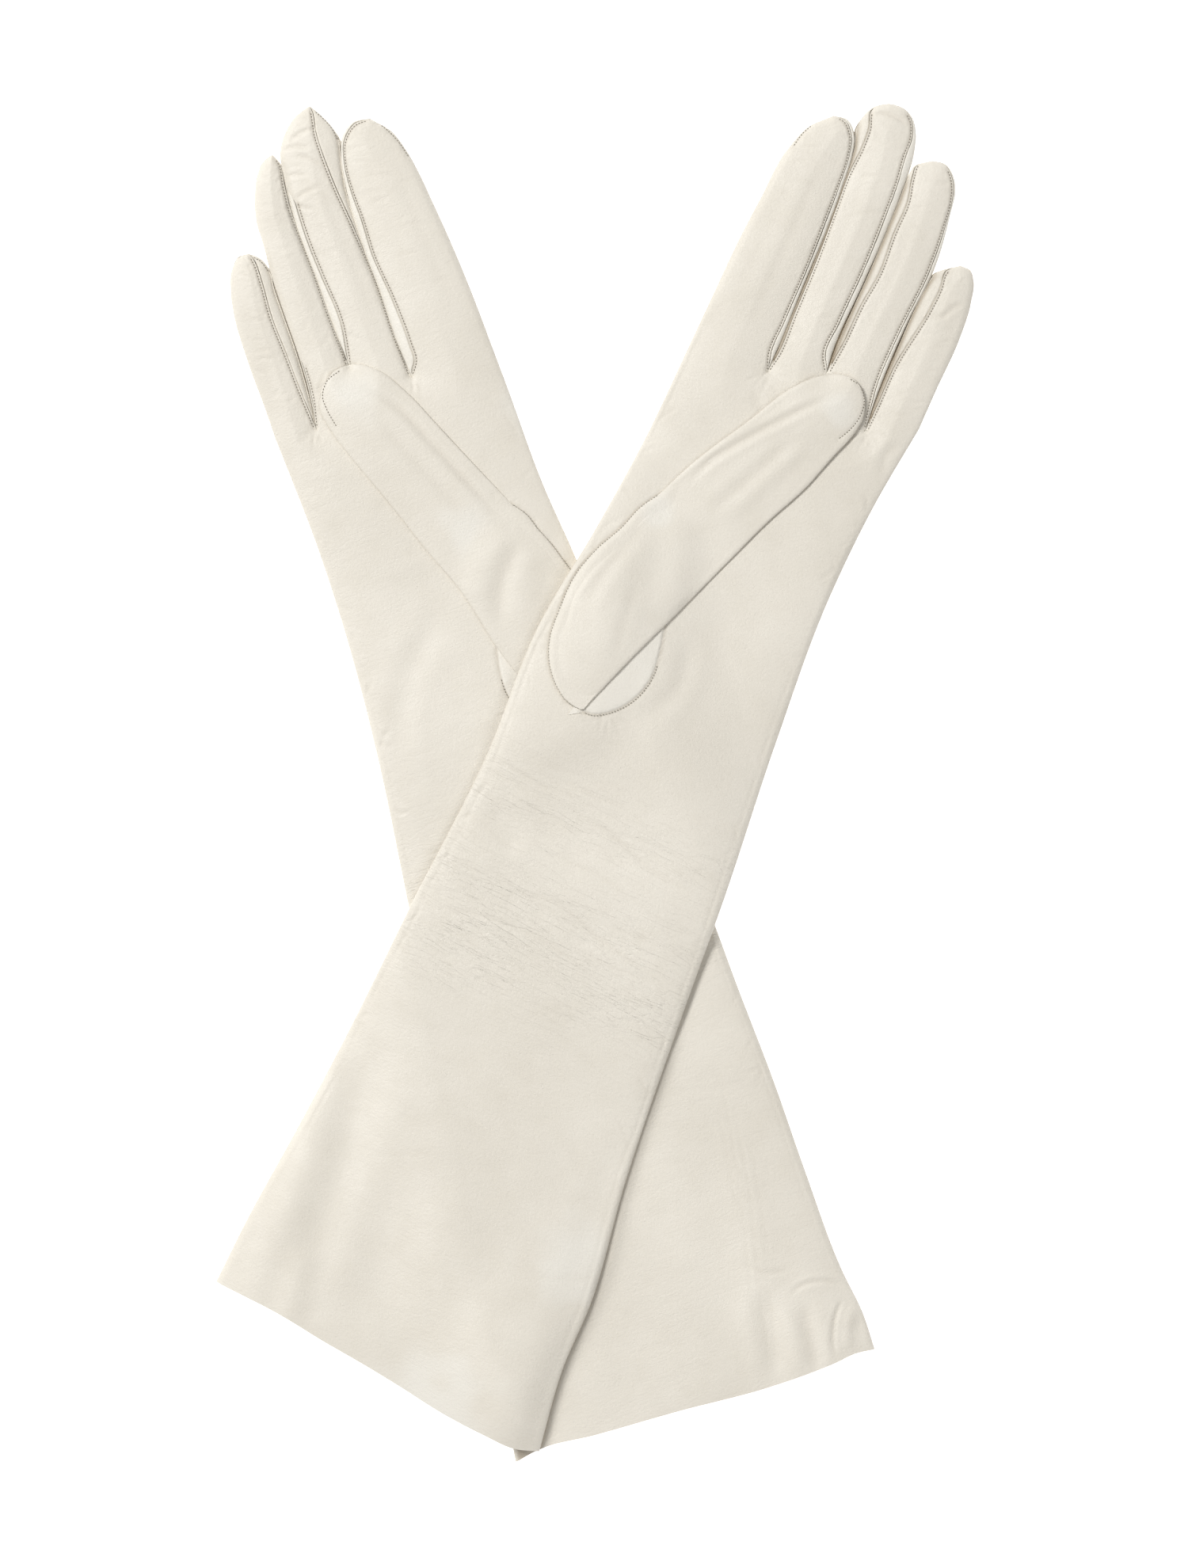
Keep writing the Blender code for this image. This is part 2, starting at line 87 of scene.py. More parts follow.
# The plan of each glove. Curves run from the cuff towards the fingertips, and from its radial side, the one
# towards the thumb, to its ulnar side. A "stitched" share says how far along its length a seam is sewn.
LEFT = {
    "radial": [
        (-119.5, -157), (-109.8, -137.5), (-93.3, -107.5), (-77.5, -77.5), (-57, -36.3), (-34.3, 8.5),
        (-17.8, 49.6), (0, 80), (16.3, 110), (30.5, 140),
    ],
    "ulnar": [
        (-17.5, -210), (-9.8, -183.5), (-1.8, -165), (9.8, -125), (27, -74.5), (42, -32.5), (57, 12.5),
        (73.5, 57.5), (88, 87.5), (102.3, 112),
    ],
    "roots": [(30.5, 140), (54.4, 130.2), (73.2, 129.9), (85.3, 111.6), (102.3, 112)],
    "cuff": [
        (-119.5, -157), (-98.5, -167.5), (-86.3, -175), (-73.3, -182.5), (-61, -190), (-49, -197.5),
        (-34.3, -205), (-25.3, -209), (-17.5, -210),
    ],
    "fingers": {
        "index": {
            "radial_outer": [
                (30.5, 140), (37.5, 155), (44.5, 170), (52.3, 185), (60.5, 200), (67.5, 207.4), (75, 210.8),
            ],
            "ulnar_seam": [
                (54.4, 130.2), (54.6, 135), (59.1, 146.1), (66.3, 162.6), (72, 177), (77, 189.9),
                (79.5, 197), (80.4, 204), (78.6, 208.8), (75, 210.7),
            ],
            "ulnar_outer": [
                (54.4, 130.2), (56.5, 134.6), (66.3, 158.3), (73.5, 175.5), (78.5, 189.3), (81.3, 198.5),
                (82, 204.6), (79.8, 209.6), (75, 211),
            ],
        },
        "middle": {
            "radial_seam": [
                (54.9, 130.2), (58.4, 135.3), (63.4, 147.5), (70.5, 164.8), (76.3, 180.5), (80.6, 192),
                (84.9, 200.6), (87, 206.4), (87.9, 212.4), (93, 214.4),
            ],
            "radial_stitched": 0.93,
            "radial_outer": [
                (54.6, 130.2), (57, 135.5), (62.1, 147.8), (69.3, 165.1), (75.4, 180.8), (79.4, 192.3),
                (82, 201), (82.8, 207.6), (85.8, 212), (88.6, 213.9), (93, 214.7),
            ],
            "ulnar_seam": [
                (72.6, 130), (71.9, 135.3), (76.3, 145.4), (84.9, 164), (90.7, 178.4), (95, 189.9),
                (97.5, 198.5), (99.4, 203.5), (99.5, 208.6), (97.2, 212.6), (93, 214.4),
            ],
            "ulnar_stitched": 0.93,
            "ulnar_outer": [
                (73.2, 129.9), (74.5, 134.5), (84.9, 158.3), (90.7, 171.3), (96.4, 185.6), (100.8, 199.3),
                (101.3, 205.8), (100.3, 210), (97.6, 213.2), (93, 214.7),
            ],
        },
        "ring": {
            "radial_seam": [
                (73.9, 129.6), (79.2, 139), (84.9, 151.1), (90, 160), (95, 173.4), (99.3, 183.5),
                (100.8, 191.3), (102.2, 195.2), (106.5, 196.4),
            ],
            "radial_stitched": 0.94,
            "radial_outer": [
                (73.5, 129.8), (76.8, 139), (81.9, 151.1), (85.9, 160), (91.6, 173.4), (95.7, 183.5),
                (98.4, 190.5), (100.6, 194.8), (106.5, 196.7),
            ],
            "ulnar_seam": [
                (85, 112), (87.8, 124.6), (95, 141.8), (104.3, 160.5), (109.3, 174), (112.3, 184.6),
                (112.4, 190), (110.6, 194.4), (106.5, 196.4),
            ],
            "ulnar_stitched": 0.94,
            "ulnar_outer": [
                (85.3, 111.6), (88.4, 120.8), (99.3, 146.8), (107.2, 162.6), (112.2, 179.8), (113.8, 187.5),
                (113, 192.2), (110.8, 195.5), (106.5, 196.7),
            ],
        },
        "little": {
            "radial_seam": [
                (86, 111.4), (89.3, 118.1), (95, 131), (106.5, 149.8), (109.3, 155.5), (111.5, 161.5),
                (115.4, 163.2),
            ],
            "radial_stitched": 0.94,
            "radial_outer": [
                (85.7, 111.5), (87.7, 118.1), (92.9, 131), (100.9, 149.8), (104, 156), (107.6, 161.2),
                (115.4, 163.6),
            ],
            "ulnar_outer": [
                (102.3, 112), (107.9, 124.6), (115.1, 140.4), (118.7, 151.8), (119.5, 158.6), (118.5, 162),
                (115.4, 163.6),
            ],
        },
    },
    "thumb_seam": [
        (-3.8, 23.2), (-8.2, 25.4), (-11.9, 30.5), (-14.3, 38), (-14.3, 45), (-11.2, 54.8), (-6, 66),
        (0.5, 73.8), (8.7, 81), (14.2, 87), (20.4, 91.4),
    ],
    "thumb_upper": [
        (20.4, 91.4), (29.9, 100.3), (48.3, 114.3), (62.9, 125.3), (70, 128.4), (76.3, 129.3),
        (81.8, 127.6), (84.6, 123.4),
    ],
    "thumb_fold": [
        (-3.8, 23.2), (11.5, 39.4), (26.3, 54), (40.9, 68.8), (55.5, 83.4), (66, 92.8), (75.5, 103.5),
        (81.3, 109.8), (84.5, 115), (85.2, 119.6), (84.6, 123.4),
    ],
    "thumb_tip_seam": [
        (80, 127.9), (83.6, 125.3), (84.9, 121.2), (83.3, 115.4), (79, 110.4), (76.6, 108.6),
    ],
    "gusset_seam": [
        (-3.8, 22.6), (-1, 21.6), (4.3, 22.2), (9.6, 24.4), (14.6, 28.4), (18.2, 33.6), (20.6, 41),
        (22.3, 49.6),
    ],
    "tip_seams": {
        "index": [(68.6, 208), (65, 204.6), (62.3, 200.6)],
    },
    "pale": [((77, 118.5), 6), ((-8, -150), 16), ((-50, -195), 18), ((20, 86), 6)],
}
RIGHT = {
    "radial": [
        (88.3, -178.3), (84.8, -167.5), (77.6, -152.5), (66.5, -122.5), (56, -92.5), (44.5, -62.5),
        (39, -47.5), (16, 14), (-6.5, 72.5), (-16.5, 95), (-27.5, 125), (-32, 137),
    ],
    "ulnar": [
        (-25, -214), (-32.5, -172), (-47, -100), (-60, -32.5), (-69.5, 12.5), (-77.3, 42.5), (-86.8, 72.5),
        (-98.3, 102.5), (-100.9, 109),
    ],
    "roots": [(-32, 137), (-57.8, 128.6), (-77.3, 131.3), (-87.8, 112), (-100.9, 109)],
    "cuff": [
        (88.3, -178.3), (82, -179.6), (76, -182.3), (54.8, -190), (26.5, -197.5), (0.3, -205),
        (-17.8, -209.8), (-25, -214),
    ],
    "fingers": {
        "index": {
            "radial_outer": [
                (-32, 137), (-38.8, 155), (-45, 170), (-51.8, 185), (-55.3, 192.5), (-59.5, 200),
                (-64.2, 206), (-70.6, 209.8),
            ],
            "ulnar_seam": [
                (-57.6, 128.8), (-56.2, 133.5), (-57.8, 139), (-63.5, 153.8), (-69.3, 166.5), (-73, 178.3),
                (-76.1, 186.5), (-78.4, 195), (-78.7, 202), (-75.6, 207.6), (-70.6, 209.6),
            ],
            "ulnar_outer": [
                (-57.8, 128.6), (-59.8, 133), (-63, 141), (-66, 150), (-68.9, 158.5), (-71.7, 165.5),
                (-74.7, 174.5), (-77.3, 183), (-79.2, 191.4), (-80.1, 199.3), (-79.6, 204.5),
                (-76.5, 208.8), (-70.6, 210.1),
            ],
        },
        "middle": {
            "radial_seam": [
                (-58.6, 128.8), (-63.5, 141), (-69.3, 158.3), (-77, 176), (-82.8, 188.8), (-86.5, 198.4),
                (-88.5, 204.8), (-89.3, 210), (-90, 213.6),
            ],
            "radial_outer": [
                (-58.2, 128.7), (-62.9, 141), (-65.9, 150), (-68.8, 158.5), (-71.6, 165.5), (-74.6, 174.5),
                (-78.3, 186.5), (-80.2, 198.4), (-80.8, 203.2), (-83, 207.4), (-86.2, 210.9), (-90, 214),
            ],
            "ulnar_stitched": 0.62,
            "ulnar_seam": [
                (-76.9, 131.4), (-79.5, 146), (-85.3, 160), (-89, 169), (-91.3, 175.5), (-93.6, 183),
                (-96.4, 191), (-98.2, 198.5), (-96.6, 205.4), (-93.3, 210.6), (-90, 213.6),
            ],
            "ulnar_outer": [
                (-77.3, 131.3), (-83, 146), (-88, 160), (-91.5, 169), (-94.2, 176.5), (-96.2, 184),
                (-97.9, 191.5), (-99.3, 198.5), (-97.6, 205.6), (-94, 211), (-90, 214),
            ],
        },
        "ring": {
            "radial_seam": [
                (-78, 131), (-84.6, 148.6), (-89, 161.4), (-92.9, 171.5), (-96.8, 181.8), (-98.6, 189.5),
                (-99.7, 195.3), (-101.7, 198.2),
            ],
            "radial_outer": [
                (-77.6, 131.1), (-82.9, 146.5), (-88.1, 161), (-91.9, 171), (-95.3, 181.3), (-97.4, 189.5),
                (-98.9, 195.3), (-101.7, 198.6),
            ],
            "ulnar_stitched": 0.22,
            "ulnar_seam": [
                (-87.6, 112.4), (-88.6, 121.5), (-92.5, 135.6), (-97.7, 150.2), (-101.6, 162.3),
                (-103.6, 170.3), (-105.8, 177.8), (-106.3, 185), (-105.4, 192), (-104, 195.7),
                (-101.7, 198.2),
            ],
            "ulnar_outer": [
                (-87.8, 112), (-89.7, 121.8), (-93.5, 135.3), (-98.6, 150), (-102.5, 162), (-104.6, 170),
                (-106.8, 177.5), (-107.3, 185), (-106.4, 192.5), (-104.6, 196.4), (-101.7, 198.6),
            ],
        },
        "little": {
            "radial_seam": [
                (-88.5, 112), (-93, 122.6), (-97.8, 135), (-102.5, 146.9), (-105.6, 158), (-107.6, 164),
                (-109.3, 167),
            ],
            "radial_outer": [
                (-88.1, 111.9), (-90.1, 121.8), (-93.9, 135.3), (-98.9, 149.6), (-101.1, 156),
                (-102.5, 161.6), (-105.5, 165.8), (-109.3, 167.4),
            ],
            "ulnar_outer": [
                (-100.9, 109), (-103.8, 117.5), (-109.3, 132.5), (-113.8, 147.5), (-114.9, 155),
                (-114.4, 162.5), (-112.5, 166.2), (-109.3, 167.4),
            ],
        },
    },
    "thumb_seam": [
        (-12.5, 21.5), (-6, 23), (-2, 30), (0, 40), (-0.5, 50), (-4, 62), (-9.5, 70), (-14, 76),
        (-18.1, 80.6), (-21.3, 84.8), (-26.3, 88.3),
    ],
    "thumb_upper": [
        (-26.3, 88.3), (-38.8, 101.5), (-49.5, 113), (-58.8, 123), (-68.6, 130.6), (-75.5, 132.5),
        (-82, 130.3), (-86.2, 125),
    ],
    "thumb_fold": [
        (-12.5, 21.5), (-24.3, 34.3), (-31.1, 43.4), (-41.8, 60.3), (-53.3, 74), (-64.8, 88.5),
        (-76.3, 102.3), (-83.3, 111.5), (-86.8, 118.4), (-86.2, 125),
    ],
    "thumb_tip_seam": [(-80, 130.6), (-84.6, 126.6), (-85.8, 122), (-84.6, 118.4), (-81.4, 112.6)],
    "gusset_seam": [(-12.5, 21), (-19, 21.5), (-24, 23.5), (-27.3, 27.3), (-30, 35), (-31.1, 42.6)],
    "tip_seams": {
        "index": [(-67.8, 208.2), (-64.8, 205.7), (-61.3, 201.8), (-58.8, 197.9)],
        "middle": [(-88.6, 212.4), (-85.6, 209.8), (-82.6, 206.2), (-80.9, 202.6)],
        "little": [(-108.2, 166.4), (-105.6, 165), (-102.8, 161.4)],
    },
    "pale": [((-77, 122), 9), ((-40, 82), 9), ((-20, 120), 12)],
}
GLOVES = {"left": LEFT, "right": RIGHT}

# Creases listed one by one: (line, depth, width). A depth below zero is a ridge.
CREASES = {
    "left": [
        ([(-7, -8), (5, -16), (18, -27), (36, -37)], 0.22, 1.2),
        ([(-26, -33), (-13, -37), (3, -50), (13, -57), (25, -65)], 0.2, 1.1),
        ([(-55, -38), (-30, -43), (-12, -52), (4, -64)], 0.15, 1.1),
        ([(-20, -20), (0, -28), (24, -45), (34, -50)], 0.15, 1.1),
        ([(-34, -6), (-30, -12), (-22, -22)], 0.5, 5.0),
        ([(-98, -175), (-94, -158), (-90, -143)], -0.5, 4.0),
        ([(-60, -185), (-52, -150), (-40, -120)], -0.45, 9.0),
        ([(-6, -178), (6, -140), (16, -108)], -0.5, 4.5),
        ([(-70, -76), (-77, -112), (-90, -152), (-95, -164)], 0.95, 6.5),
        ([(-84, -92), (-94, -122), (-104, -148)], -0.55, 6.0),
        ([(12, 18), (26, 30), (30, 48)], 0.3, 3.0),
        ([(-38, -2), (-22, -10), (4, -21), (32, -30)], 0.4, 6.0),
        ([(-48, -24), (-24, -36), (6, -50), (22, -56)], 0.25, 5.0),
        ([(87.6, 211.6), (91, 211.6), (95, 210.2), (99.4, 207.4)], 0.35, 0.8),
        ([(104, 150), (109, 147), (113, 150), (118, 152)], 0.2, 1.0),
        ([(97, 108), (92, 104), (90, 96)], 0.2, 1.6),
        ([(50, 126), (52, 118), (60, 112)], 0.15, 2.0),
    ],
    "right": [
        ([(78.5, -161), (75.8, -168), (75, -175), (76, -182.6)], 0.5, 0.7),
        ([(82, -163), (79.5, -172), (80, -180)], -0.4, 2.0),
        ([(52, -158), (55.5, -173), (58, -190)], 0.75, 3.6),
        ([(64.5, -162), (68, -175), (70, -188)], 0.6, 2.8),
        ([(60.5, -162), (65.4, -157.8), (71, -156.6), (79.8, -158.4)], 0.3, 0.8),
        ([(44, -150), (54, -154), (63, -153)], 0.14, 0.8),
        ([(-45, 60), (-60, 30), (-62, 0)], 0.35, 4.0),
        ([(-35, -10), (-20, -35), (20, -60)], 0.3, 3.0),
        ([(40, -110), (50, -140), (52, -175)], -0.35, 6.0),
    ],
}
# The fine creases down the right sleeve: (sideways, from, to), as shares of their length.
SLEEVE_CREASES = (
    (-3.4, 0.1, 0.5), (-2.2, 0.3, 0.8), (-1, 0, 0.6), (0.3, 0.4, 1), (1.5, 0.1, 0.9), (3, 0.5, 1),
    (4.6, 0.2, 0.7),
)
# The creases at the tip of the right middle finger: (x, y, turn).
TIP_CREASES = ((0, 0, 0.4), (-3, -5, 0.1), (2, -9, -0.3), (-4, -14, 0.2), (1, -19, 0.5), (-2, -24, 0))


# Numbers and curves


def ease(x):
    """From 0 to 1 with a soft start and a soft end."""
    x = np.clip(x, 0, 1)
    return x * x * (3 - 2 * x)


def rounded(x):
    """From 0 to 1 as a quarter of a circle."""
    return np.sqrt(1 - (1 - np.clip(x, 0, 1)) ** 2)


def along(points, share):
    """Points at these shares of the length of a smooth curve."""
    points = np.array(points, float)
    knots = np.concatenate([[0], np.cumsum(np.linalg.norm(np.diff(points, axis=0), axis=1))])
    knots /= knots[-1]
    slopes = np.gradient(points, knots, axis=0)
    share = np.atleast_1d(share).astype(float)
    i = np.clip(np.searchsorted(knots, share, "right") - 1, 0, len(points) - 2)
    span = (knots[i + 1] - knots[i])[:, None]
    u = (share[:, None] - knots[i][:, None]) / span
    return (
        (2 * u**3 - 3 * u**2 + 1) * points[i]
        + (u**3 - 2 * u**2 + u) * span * slopes[i]
        + (3 * u**2 - 2 * u**3) * points[i + 1]
        + (u**3 - u**2) * span * slopes[i + 1]
    )


def smooth_line(points, step=2.0):
    """The smooth curve through these points, in runs of about this length."""
    length = np.linalg.norm(np.diff(np.array(points, float), axis=0), axis=1).sum()
    return along(points, np.linspace(0, 1, max(4, int(length / step))))


def distance(p, line):
    """Distance of each point from a line of straight runs, and how far along it is, from 0 to 1."""
    best = np.full(len(p), 1e9)
    place = np.zeros(len(p))
    count = len(line) - 1
    for k in range(count):
        a, d = line[k], line[k + 1] - line[k]
        u = np.clip(((p - a) @ d) / max(d @ d, 1e-9), 0, 1)
        r = np.hypot(*(p - a - u[:, None] * d).T)
        nearer = r < best
        best[nearer] = r[nearer]
        place[nearer] = (k + u[nearer]) / count
    return best, place


def near(p, line, reach):
    """Which points are within reach of a line's box."""
    lo, hi = line.min(0) - reach, line.max(0) + reach
    return np.flatnonzero(((p > lo) & (p < hi)).all(1))


def noise(x, y, seed):
    """Smooth noise of about -1 to 1, with a feature size of 1."""
    table = np.random.RandomState(seed).uniform(-1, 1, (64, 64))
    xi, yi = np.floor(x).astype(int), np.floor(y).astype(int)
    fx, fy = x - xi, y - yi
    fx, fy = fx**3 * (fx * (fx * 6 - 15) + 10), fy**3 * (fy * (fy * 6 - 15) + 10)

    def at(i, j):
        return table[(xi + i) % 64, (yi + j) % 64]

    low = at(0, 0) * (1 - fx) + at(1, 0) * fx
    high = at(0, 1) * (1 - fx) + at(1, 1) * fx
    return (low * (1 - fy) + high * fy) * 1.5


class Glove:
    """One glove's outlines, seams and creases, and the height fields they make."""

    def __init__(self, side):
        self.side = side
        self.plan = GLOVES[side]
        start, end = along(self.plan["radial"], [0.0, 1.0])
        self.axis = end - start
        self.axis /= np.linalg.norm(self.axis)
        self.roots = np.array(self.plan["roots"], float)
        edges = [self.plan["radial"], self.plan["ulnar"]]
        self.seams = []
        for finger in self.plan["fingers"].values():
            edges += [finger["radial_outer"], finger["ulnar_outer"]]
            for where in ("radial", "ulnar"):
                if f"{where}_seam" in finger:
                    stitched = np.linspace(0, finger.get(f"{where}_stitched", 1), 60)
                    self.seams.append(smooth_line(along(finger[f"{where}_seam"], stitched)))
        self.edges = [smooth_line(e) for e in edges]
        self.seams += [smooth_line(self.plan["thumb_seam"]), smooth_line(self.plan["gusset_seam"])]
        self.seams += [smooth_line(line) for line in self.plan["tip_seams"].values()]
        # where the left sleeve's edge rests on the right one, from the crossing down
        edge = along(LEFT["ulnar"], np.linspace(0, 1, 80))
        self.rests = edge[edge[:, 1] < -68][::-1]
        self.creases = self.make_creases()

    # plan

    def hand(self, up, across):
        """Points of the hand and sleeve, from cuff to finger roots and from the radial side to the ulnar."""
        up, across = np.broadcast_arrays(np.atleast_1d(up).astype(float), np.atleast_1d(across).astype(float))
        radial, ulnar = along(self.plan["radial"], up), along(self.plan["ulnar"], up)
        points = radial + (ulnar - radial) * across[:, None]
        ends = [np.array(self.plan[k][0], float) for k in ("radial", "ulnar")]
        cut = along(self.plan["cuff"], across) - ends[0] - (ends[1] - ends[0]) * across[:, None]
        straight = self.roots[0] + (self.roots[-1] - self.roots[0]) * across[:, None]
        stepped = np.stack([np.interp(across, ROOT_SHARES, self.roots[:, k]) for k in (0, 1)], axis=1)
        by_cuff, by_roots = 1 - ease(up / 0.16), ease((up - 0.72) / 0.28)
        return points + cut * by_cuff[:, None] + (stepped - straight) * by_roots[:, None]

    def own(self, p):
        """How far across the glove and how far along it each point is."""
        return p @ np.array([self.axis[1], -self.axis[0]]), p @ self.axis

    def from_cuff(self, p):
        return distance(p, np.array(self.plan["cuff"], float))[0]

    def off_rest(self, p):
        """Distance from the edge that rests on this sleeve, and the share of its effect at each point."""
        off, place = distance(p, self.rests)
        return off, ease(place / 0.16)

    # heights

    def lift(self, p):
        """How far the left glove is raised by the right one below it."""
        if self.side == "right":
            return np.zeros(len(p))
        share = np.linspace(0.12, 0.9, 6)
        radial, ulnar = along(RIGHT["radial"], share), along(RIGHT["ulnar"], share)
        middle, half = (radial + ulnar) / 2, np.linalg.norm(radial - ulnar, axis=1) / 2
        far, place = distance(p, middle)
        off_arm = far - np.interp(place, np.linspace(0, 1, len(half)), half)
        off_thumb = distance(p, smooth_line(RIGHT["thumb_seam"])[2:-2] + (-9, 2))[0] - 9
        mouth = 1 - ease(distance(p, np.array(RIGHT["cuff"], float))[0] / 90)
        arm = (LIFT_ARM + MOUTH * mouth) * (1 - ease(off_arm / LEAN))
        thumb = LIFT_THUMB * (1 - ease(off_thumb / (LEAN + 8)))
        both = np.log(np.exp(arm * 2) + np.exp(thumb * 2)) / 2
        return both - math.log(2) / 2 * np.exp(-np.maximum(arm, thumb))

    def edge_distance(self, p):
        return np.min([distance(p, e)[0] for e in self.edges], axis=0)

    def base(self, p):
        """The top of the leather without its creases, and the distance from the glove's edge."""
        s = self.edge_distance(p)
        rise = MOUTH * (1 - ease(self.from_cuff(p) / MOUTH_REACH)) * (1 - np.exp(-((s / 10) ** 2)))
        if self.side == "right":
            off, share = self.off_rest(p)
            reach = 1.9 + 1.5 * np.exp(-(((p[:, 1] + 152) / 22) ** 2))
            rise += SWELLING * np.exp(-((off / reach) ** 2)) * share * ease(s / 4)
        else:
            corner = np.exp(-((np.hypot(*(p - CORNER).T) / 30) ** 2))
            rise += CORNER_RISE * corner * (1 - np.exp(-((s / 6.5) ** 2)))
        rise += EDGE_RISE * rounded(s / EDGE_ROUND) + CROWN * (1 - np.exp(-s / CROWN_REACH))
        return self.lift(p) + EDGE_Z + rise, s

    def top(self, p, thumb=False):
        """The finished top of the leather, and the painted shade on it."""
        z, s = self.base(p)
        keep = ease(s / 2.0)
        dz, dark = self.relief(p, thumb)
        x, y = p.T
        # the edge of the sleeve is pressed into a narrow roll, which fades towards the cuff; its valley gets
        # a little painted shade
        sleeve = ease((-60 - (p - self.roots[0]) @ self.axis) / 25) * ease((self.from_cuff(p) - 20) / 30)
        roll = sleeve * np.exp(-(((s - 2.5 - 0.4 * noise(x / 21, y / 21, 8)) / 0.5) ** 2))
        z -= 0.1 * roll * (1 + 0.5 * noise(x / 7, y / 7, 9))
        dark = dark + 0.02 * roll
        # each seam is a groove between two puckered banks, with painted shade in and beside the groove
        for seam in self.seams:
            i = near(p, seam, 2.5)
            if len(i):
                d = distance(p[i], seam)[0]
                z[i] -= 0.2 * np.exp(-((d / 0.42) ** 2))
                dark[i] += 0.2 * np.exp(-((d / 0.42) ** 2)) + 0.05 * np.exp(-((d / 1.1) ** 2))
                pucker = noise(x[i] / 1.1, y[i] / 1.1, 21)
                z[i] += 0.07 * pucker * np.exp(-(((d - 1.0) / 0.8) ** 2))
        # painted shadow on the right sleeve beside the edge of the left one that rests on it, and painted
        # shade on the right cuff's corner under the other cuff
        if self.side == "right":
            off, share = self.off_rest(p)
            dark = dark + 0.26 * np.exp(-off / 1.7) * share
            dark = dark + 0.7 * np.exp(-((np.hypot(*(p - SHADED_CORNER).T) / 5) ** 2))
        return z + dz * keep, dark * keep

    def under(self, p):
        """The underside of the back leather, which all but touches the table."""
        s = self.edge_distance(p)
        return self.lift(p) + EDGE_Z - (EDGE_Z - 0.05) * rounded(s / EDGE_ROUND)

    # creases

    def make_creases(self):
        """Each crease is (line, depth, width): a valley, or a ridge where the depth is below zero."""
        rng = np.random.RandomState(11 if self.side == "left" else 5)
        made = []

        def across_sleeve(count, ups, depth, width, reach, slope, places=(0.05, 0.95)):
            for _ in range(count):
                up, centre = rng.uniform(*ups), rng.uniform(*places)
                half = rng.uniform(*reach) / 2
                tilt = rng.uniform(-slope, slope)
                t = np.linspace(-1, 1, 7)
                wave = np.cumsum(rng.uniform(-1, 1, 7)) * 0.0022
                line = self.hand(up + tilt * t + wave, np.clip(centre + half * t, 0.01, 0.99))
                made.append((line, rng.uniform(*depth), rng.uniform(*width)))

        across_sleeve(16, (0.43, 0.58), (0.05, 0.12), (0.7, 1.0), (0.25, 0.6), 0.012)
        across_sleeve(8, (0.05, 0.42), (0.03, 0.07), (1.0, 1.8), (0.1, 0.3), 0.02)
        for places in ((0.0, 0.05), (0.95, 1.0)):
            across_sleeve(34, (0.25, 0.95), (0.06, 0.12), (0.5, 0.9), (0.03, 0.09), 0.012, places)
        for name in FINGERS:
            made += self.finger_creases(self.plan["fingers"][name], rng)
        # small puckers below each crotch and under the thumb
        for spot in [*self.roots[1:4], np.array(self.plan["gusset_seam"][2], float)]:
            for turn in np.linspace(-75, 75, 7):
                a = math.radians(-90 + turn + rng.uniform(-9, 9))
                d = np.array([math.cos(a), math.sin(a)])
                start, end = rng.uniform(0.8, 2), rng.uniform(4, 9)
                bow = np.array([-d[1], d[0]]) * rng.uniform(-0.8, 0.8)
                line = smooth_line([spot + d * start, spot + d * (start + end) / 2 + bow, spot + d * end])
                made.append((line, rng.uniform(0.06, 0.16), rng.uniform(0.5, 0.9)))
        made += [(smooth_line(line), depth, width) for line, depth, width in CREASES[self.side]]
        if self.side == "right":
            # fine creases down the sleeve
            for offset, low, high in SLEEVE_CREASES:
                ends = np.array([(40 + offset, -87), (49 + offset, -140), (55.4 + offset, -188)])
                line = along(ends, np.linspace(low, high, 9))
                line[:, 0] += 0.35 * rng.uniform(-1, 1, 9)
                made.append((line, 0.13, 0.6))
            # a crumpled fingertip
            for dx, dy, turn in TIP_CREASES:
                c = np.array([-91.5 + dx, 205 + dy])
                d = 6 * np.array([math.cos(turn), math.sin(turn)])
                made.append((smooth_line([c - d, c + (0, 0.9), c + d]), 0.28, 0.7))
        return made

    def finger_creases(self, finger, rng):
        """Short creases across a finger, and two soft ones along it."""
        radial = finger.get("radial_seam", finger["radial_outer"])
        ulnar = finger.get("ulnar_seam", finger["ulnar_outer"])
        made = []
        for _ in range(16):
            u, a0 = rng.uniform(0.08, 0.93), rng.uniform(0.0, 0.6)
            a1 = a0 + rng.uniform(0.25, 0.55)
            t = np.linspace(0, 1, 5)
            shares = u + 0.03 * rng.uniform(-1, 1) * t + np.cumsum(rng.uniform(-1, 1, 5)) * 0.005
            a = (a0 + (a1 - a0) * t)[:, None]
            line = along(radial, shares) * (1 - a) + along(ulnar, shares) * a
            made.append((line, rng.uniform(0.04, 0.12), rng.uniform(0.4, 0.8)))
        for a in (0.3, 0.62):
            t = np.linspace(0.12, 0.85, 8)
            line = along(radial, t) * (1 - a) + along(ulnar, t) * a
            made.append((line, rng.uniform(0.03, 0.1), rng.uniform(1.6, 2.6)))
        return made

    def wrist(self, p):
        """Where the sleeve has been folded most: 1 at the wrist, 0 away from it."""
        along_axis = (p - np.array(self.plan["roots"][0])) @ self.axis
        spot = noise(p[:, 0] / 18, p[:, 1] / 12, 63 + len(self.side))
        band = np.exp(-(((along_axis + 188 + 8 * spot) / 19) ** 2))
        band += 0.6 * np.exp(-(((along_axis + 150 + 6 * spot) / 13) ** 2))
        return np.minimum(1, band) * (0.55 + 0.45 * ease(0.6 + 0.5 * spot))

    def pale(self, p):
        """Patches that are rubbed paler."""
        found = np.zeros(len(p))
        for centre, size in self.plan["pale"]:
            r = np.hypot(*(p - np.array(centre, float)).T) / size
            wave = 0.25 * noise(p[:, 0] / 7, p[:, 1] / 7, 91)
            found = np.maximum(found, ease(1.15 - r + wave))
        return found

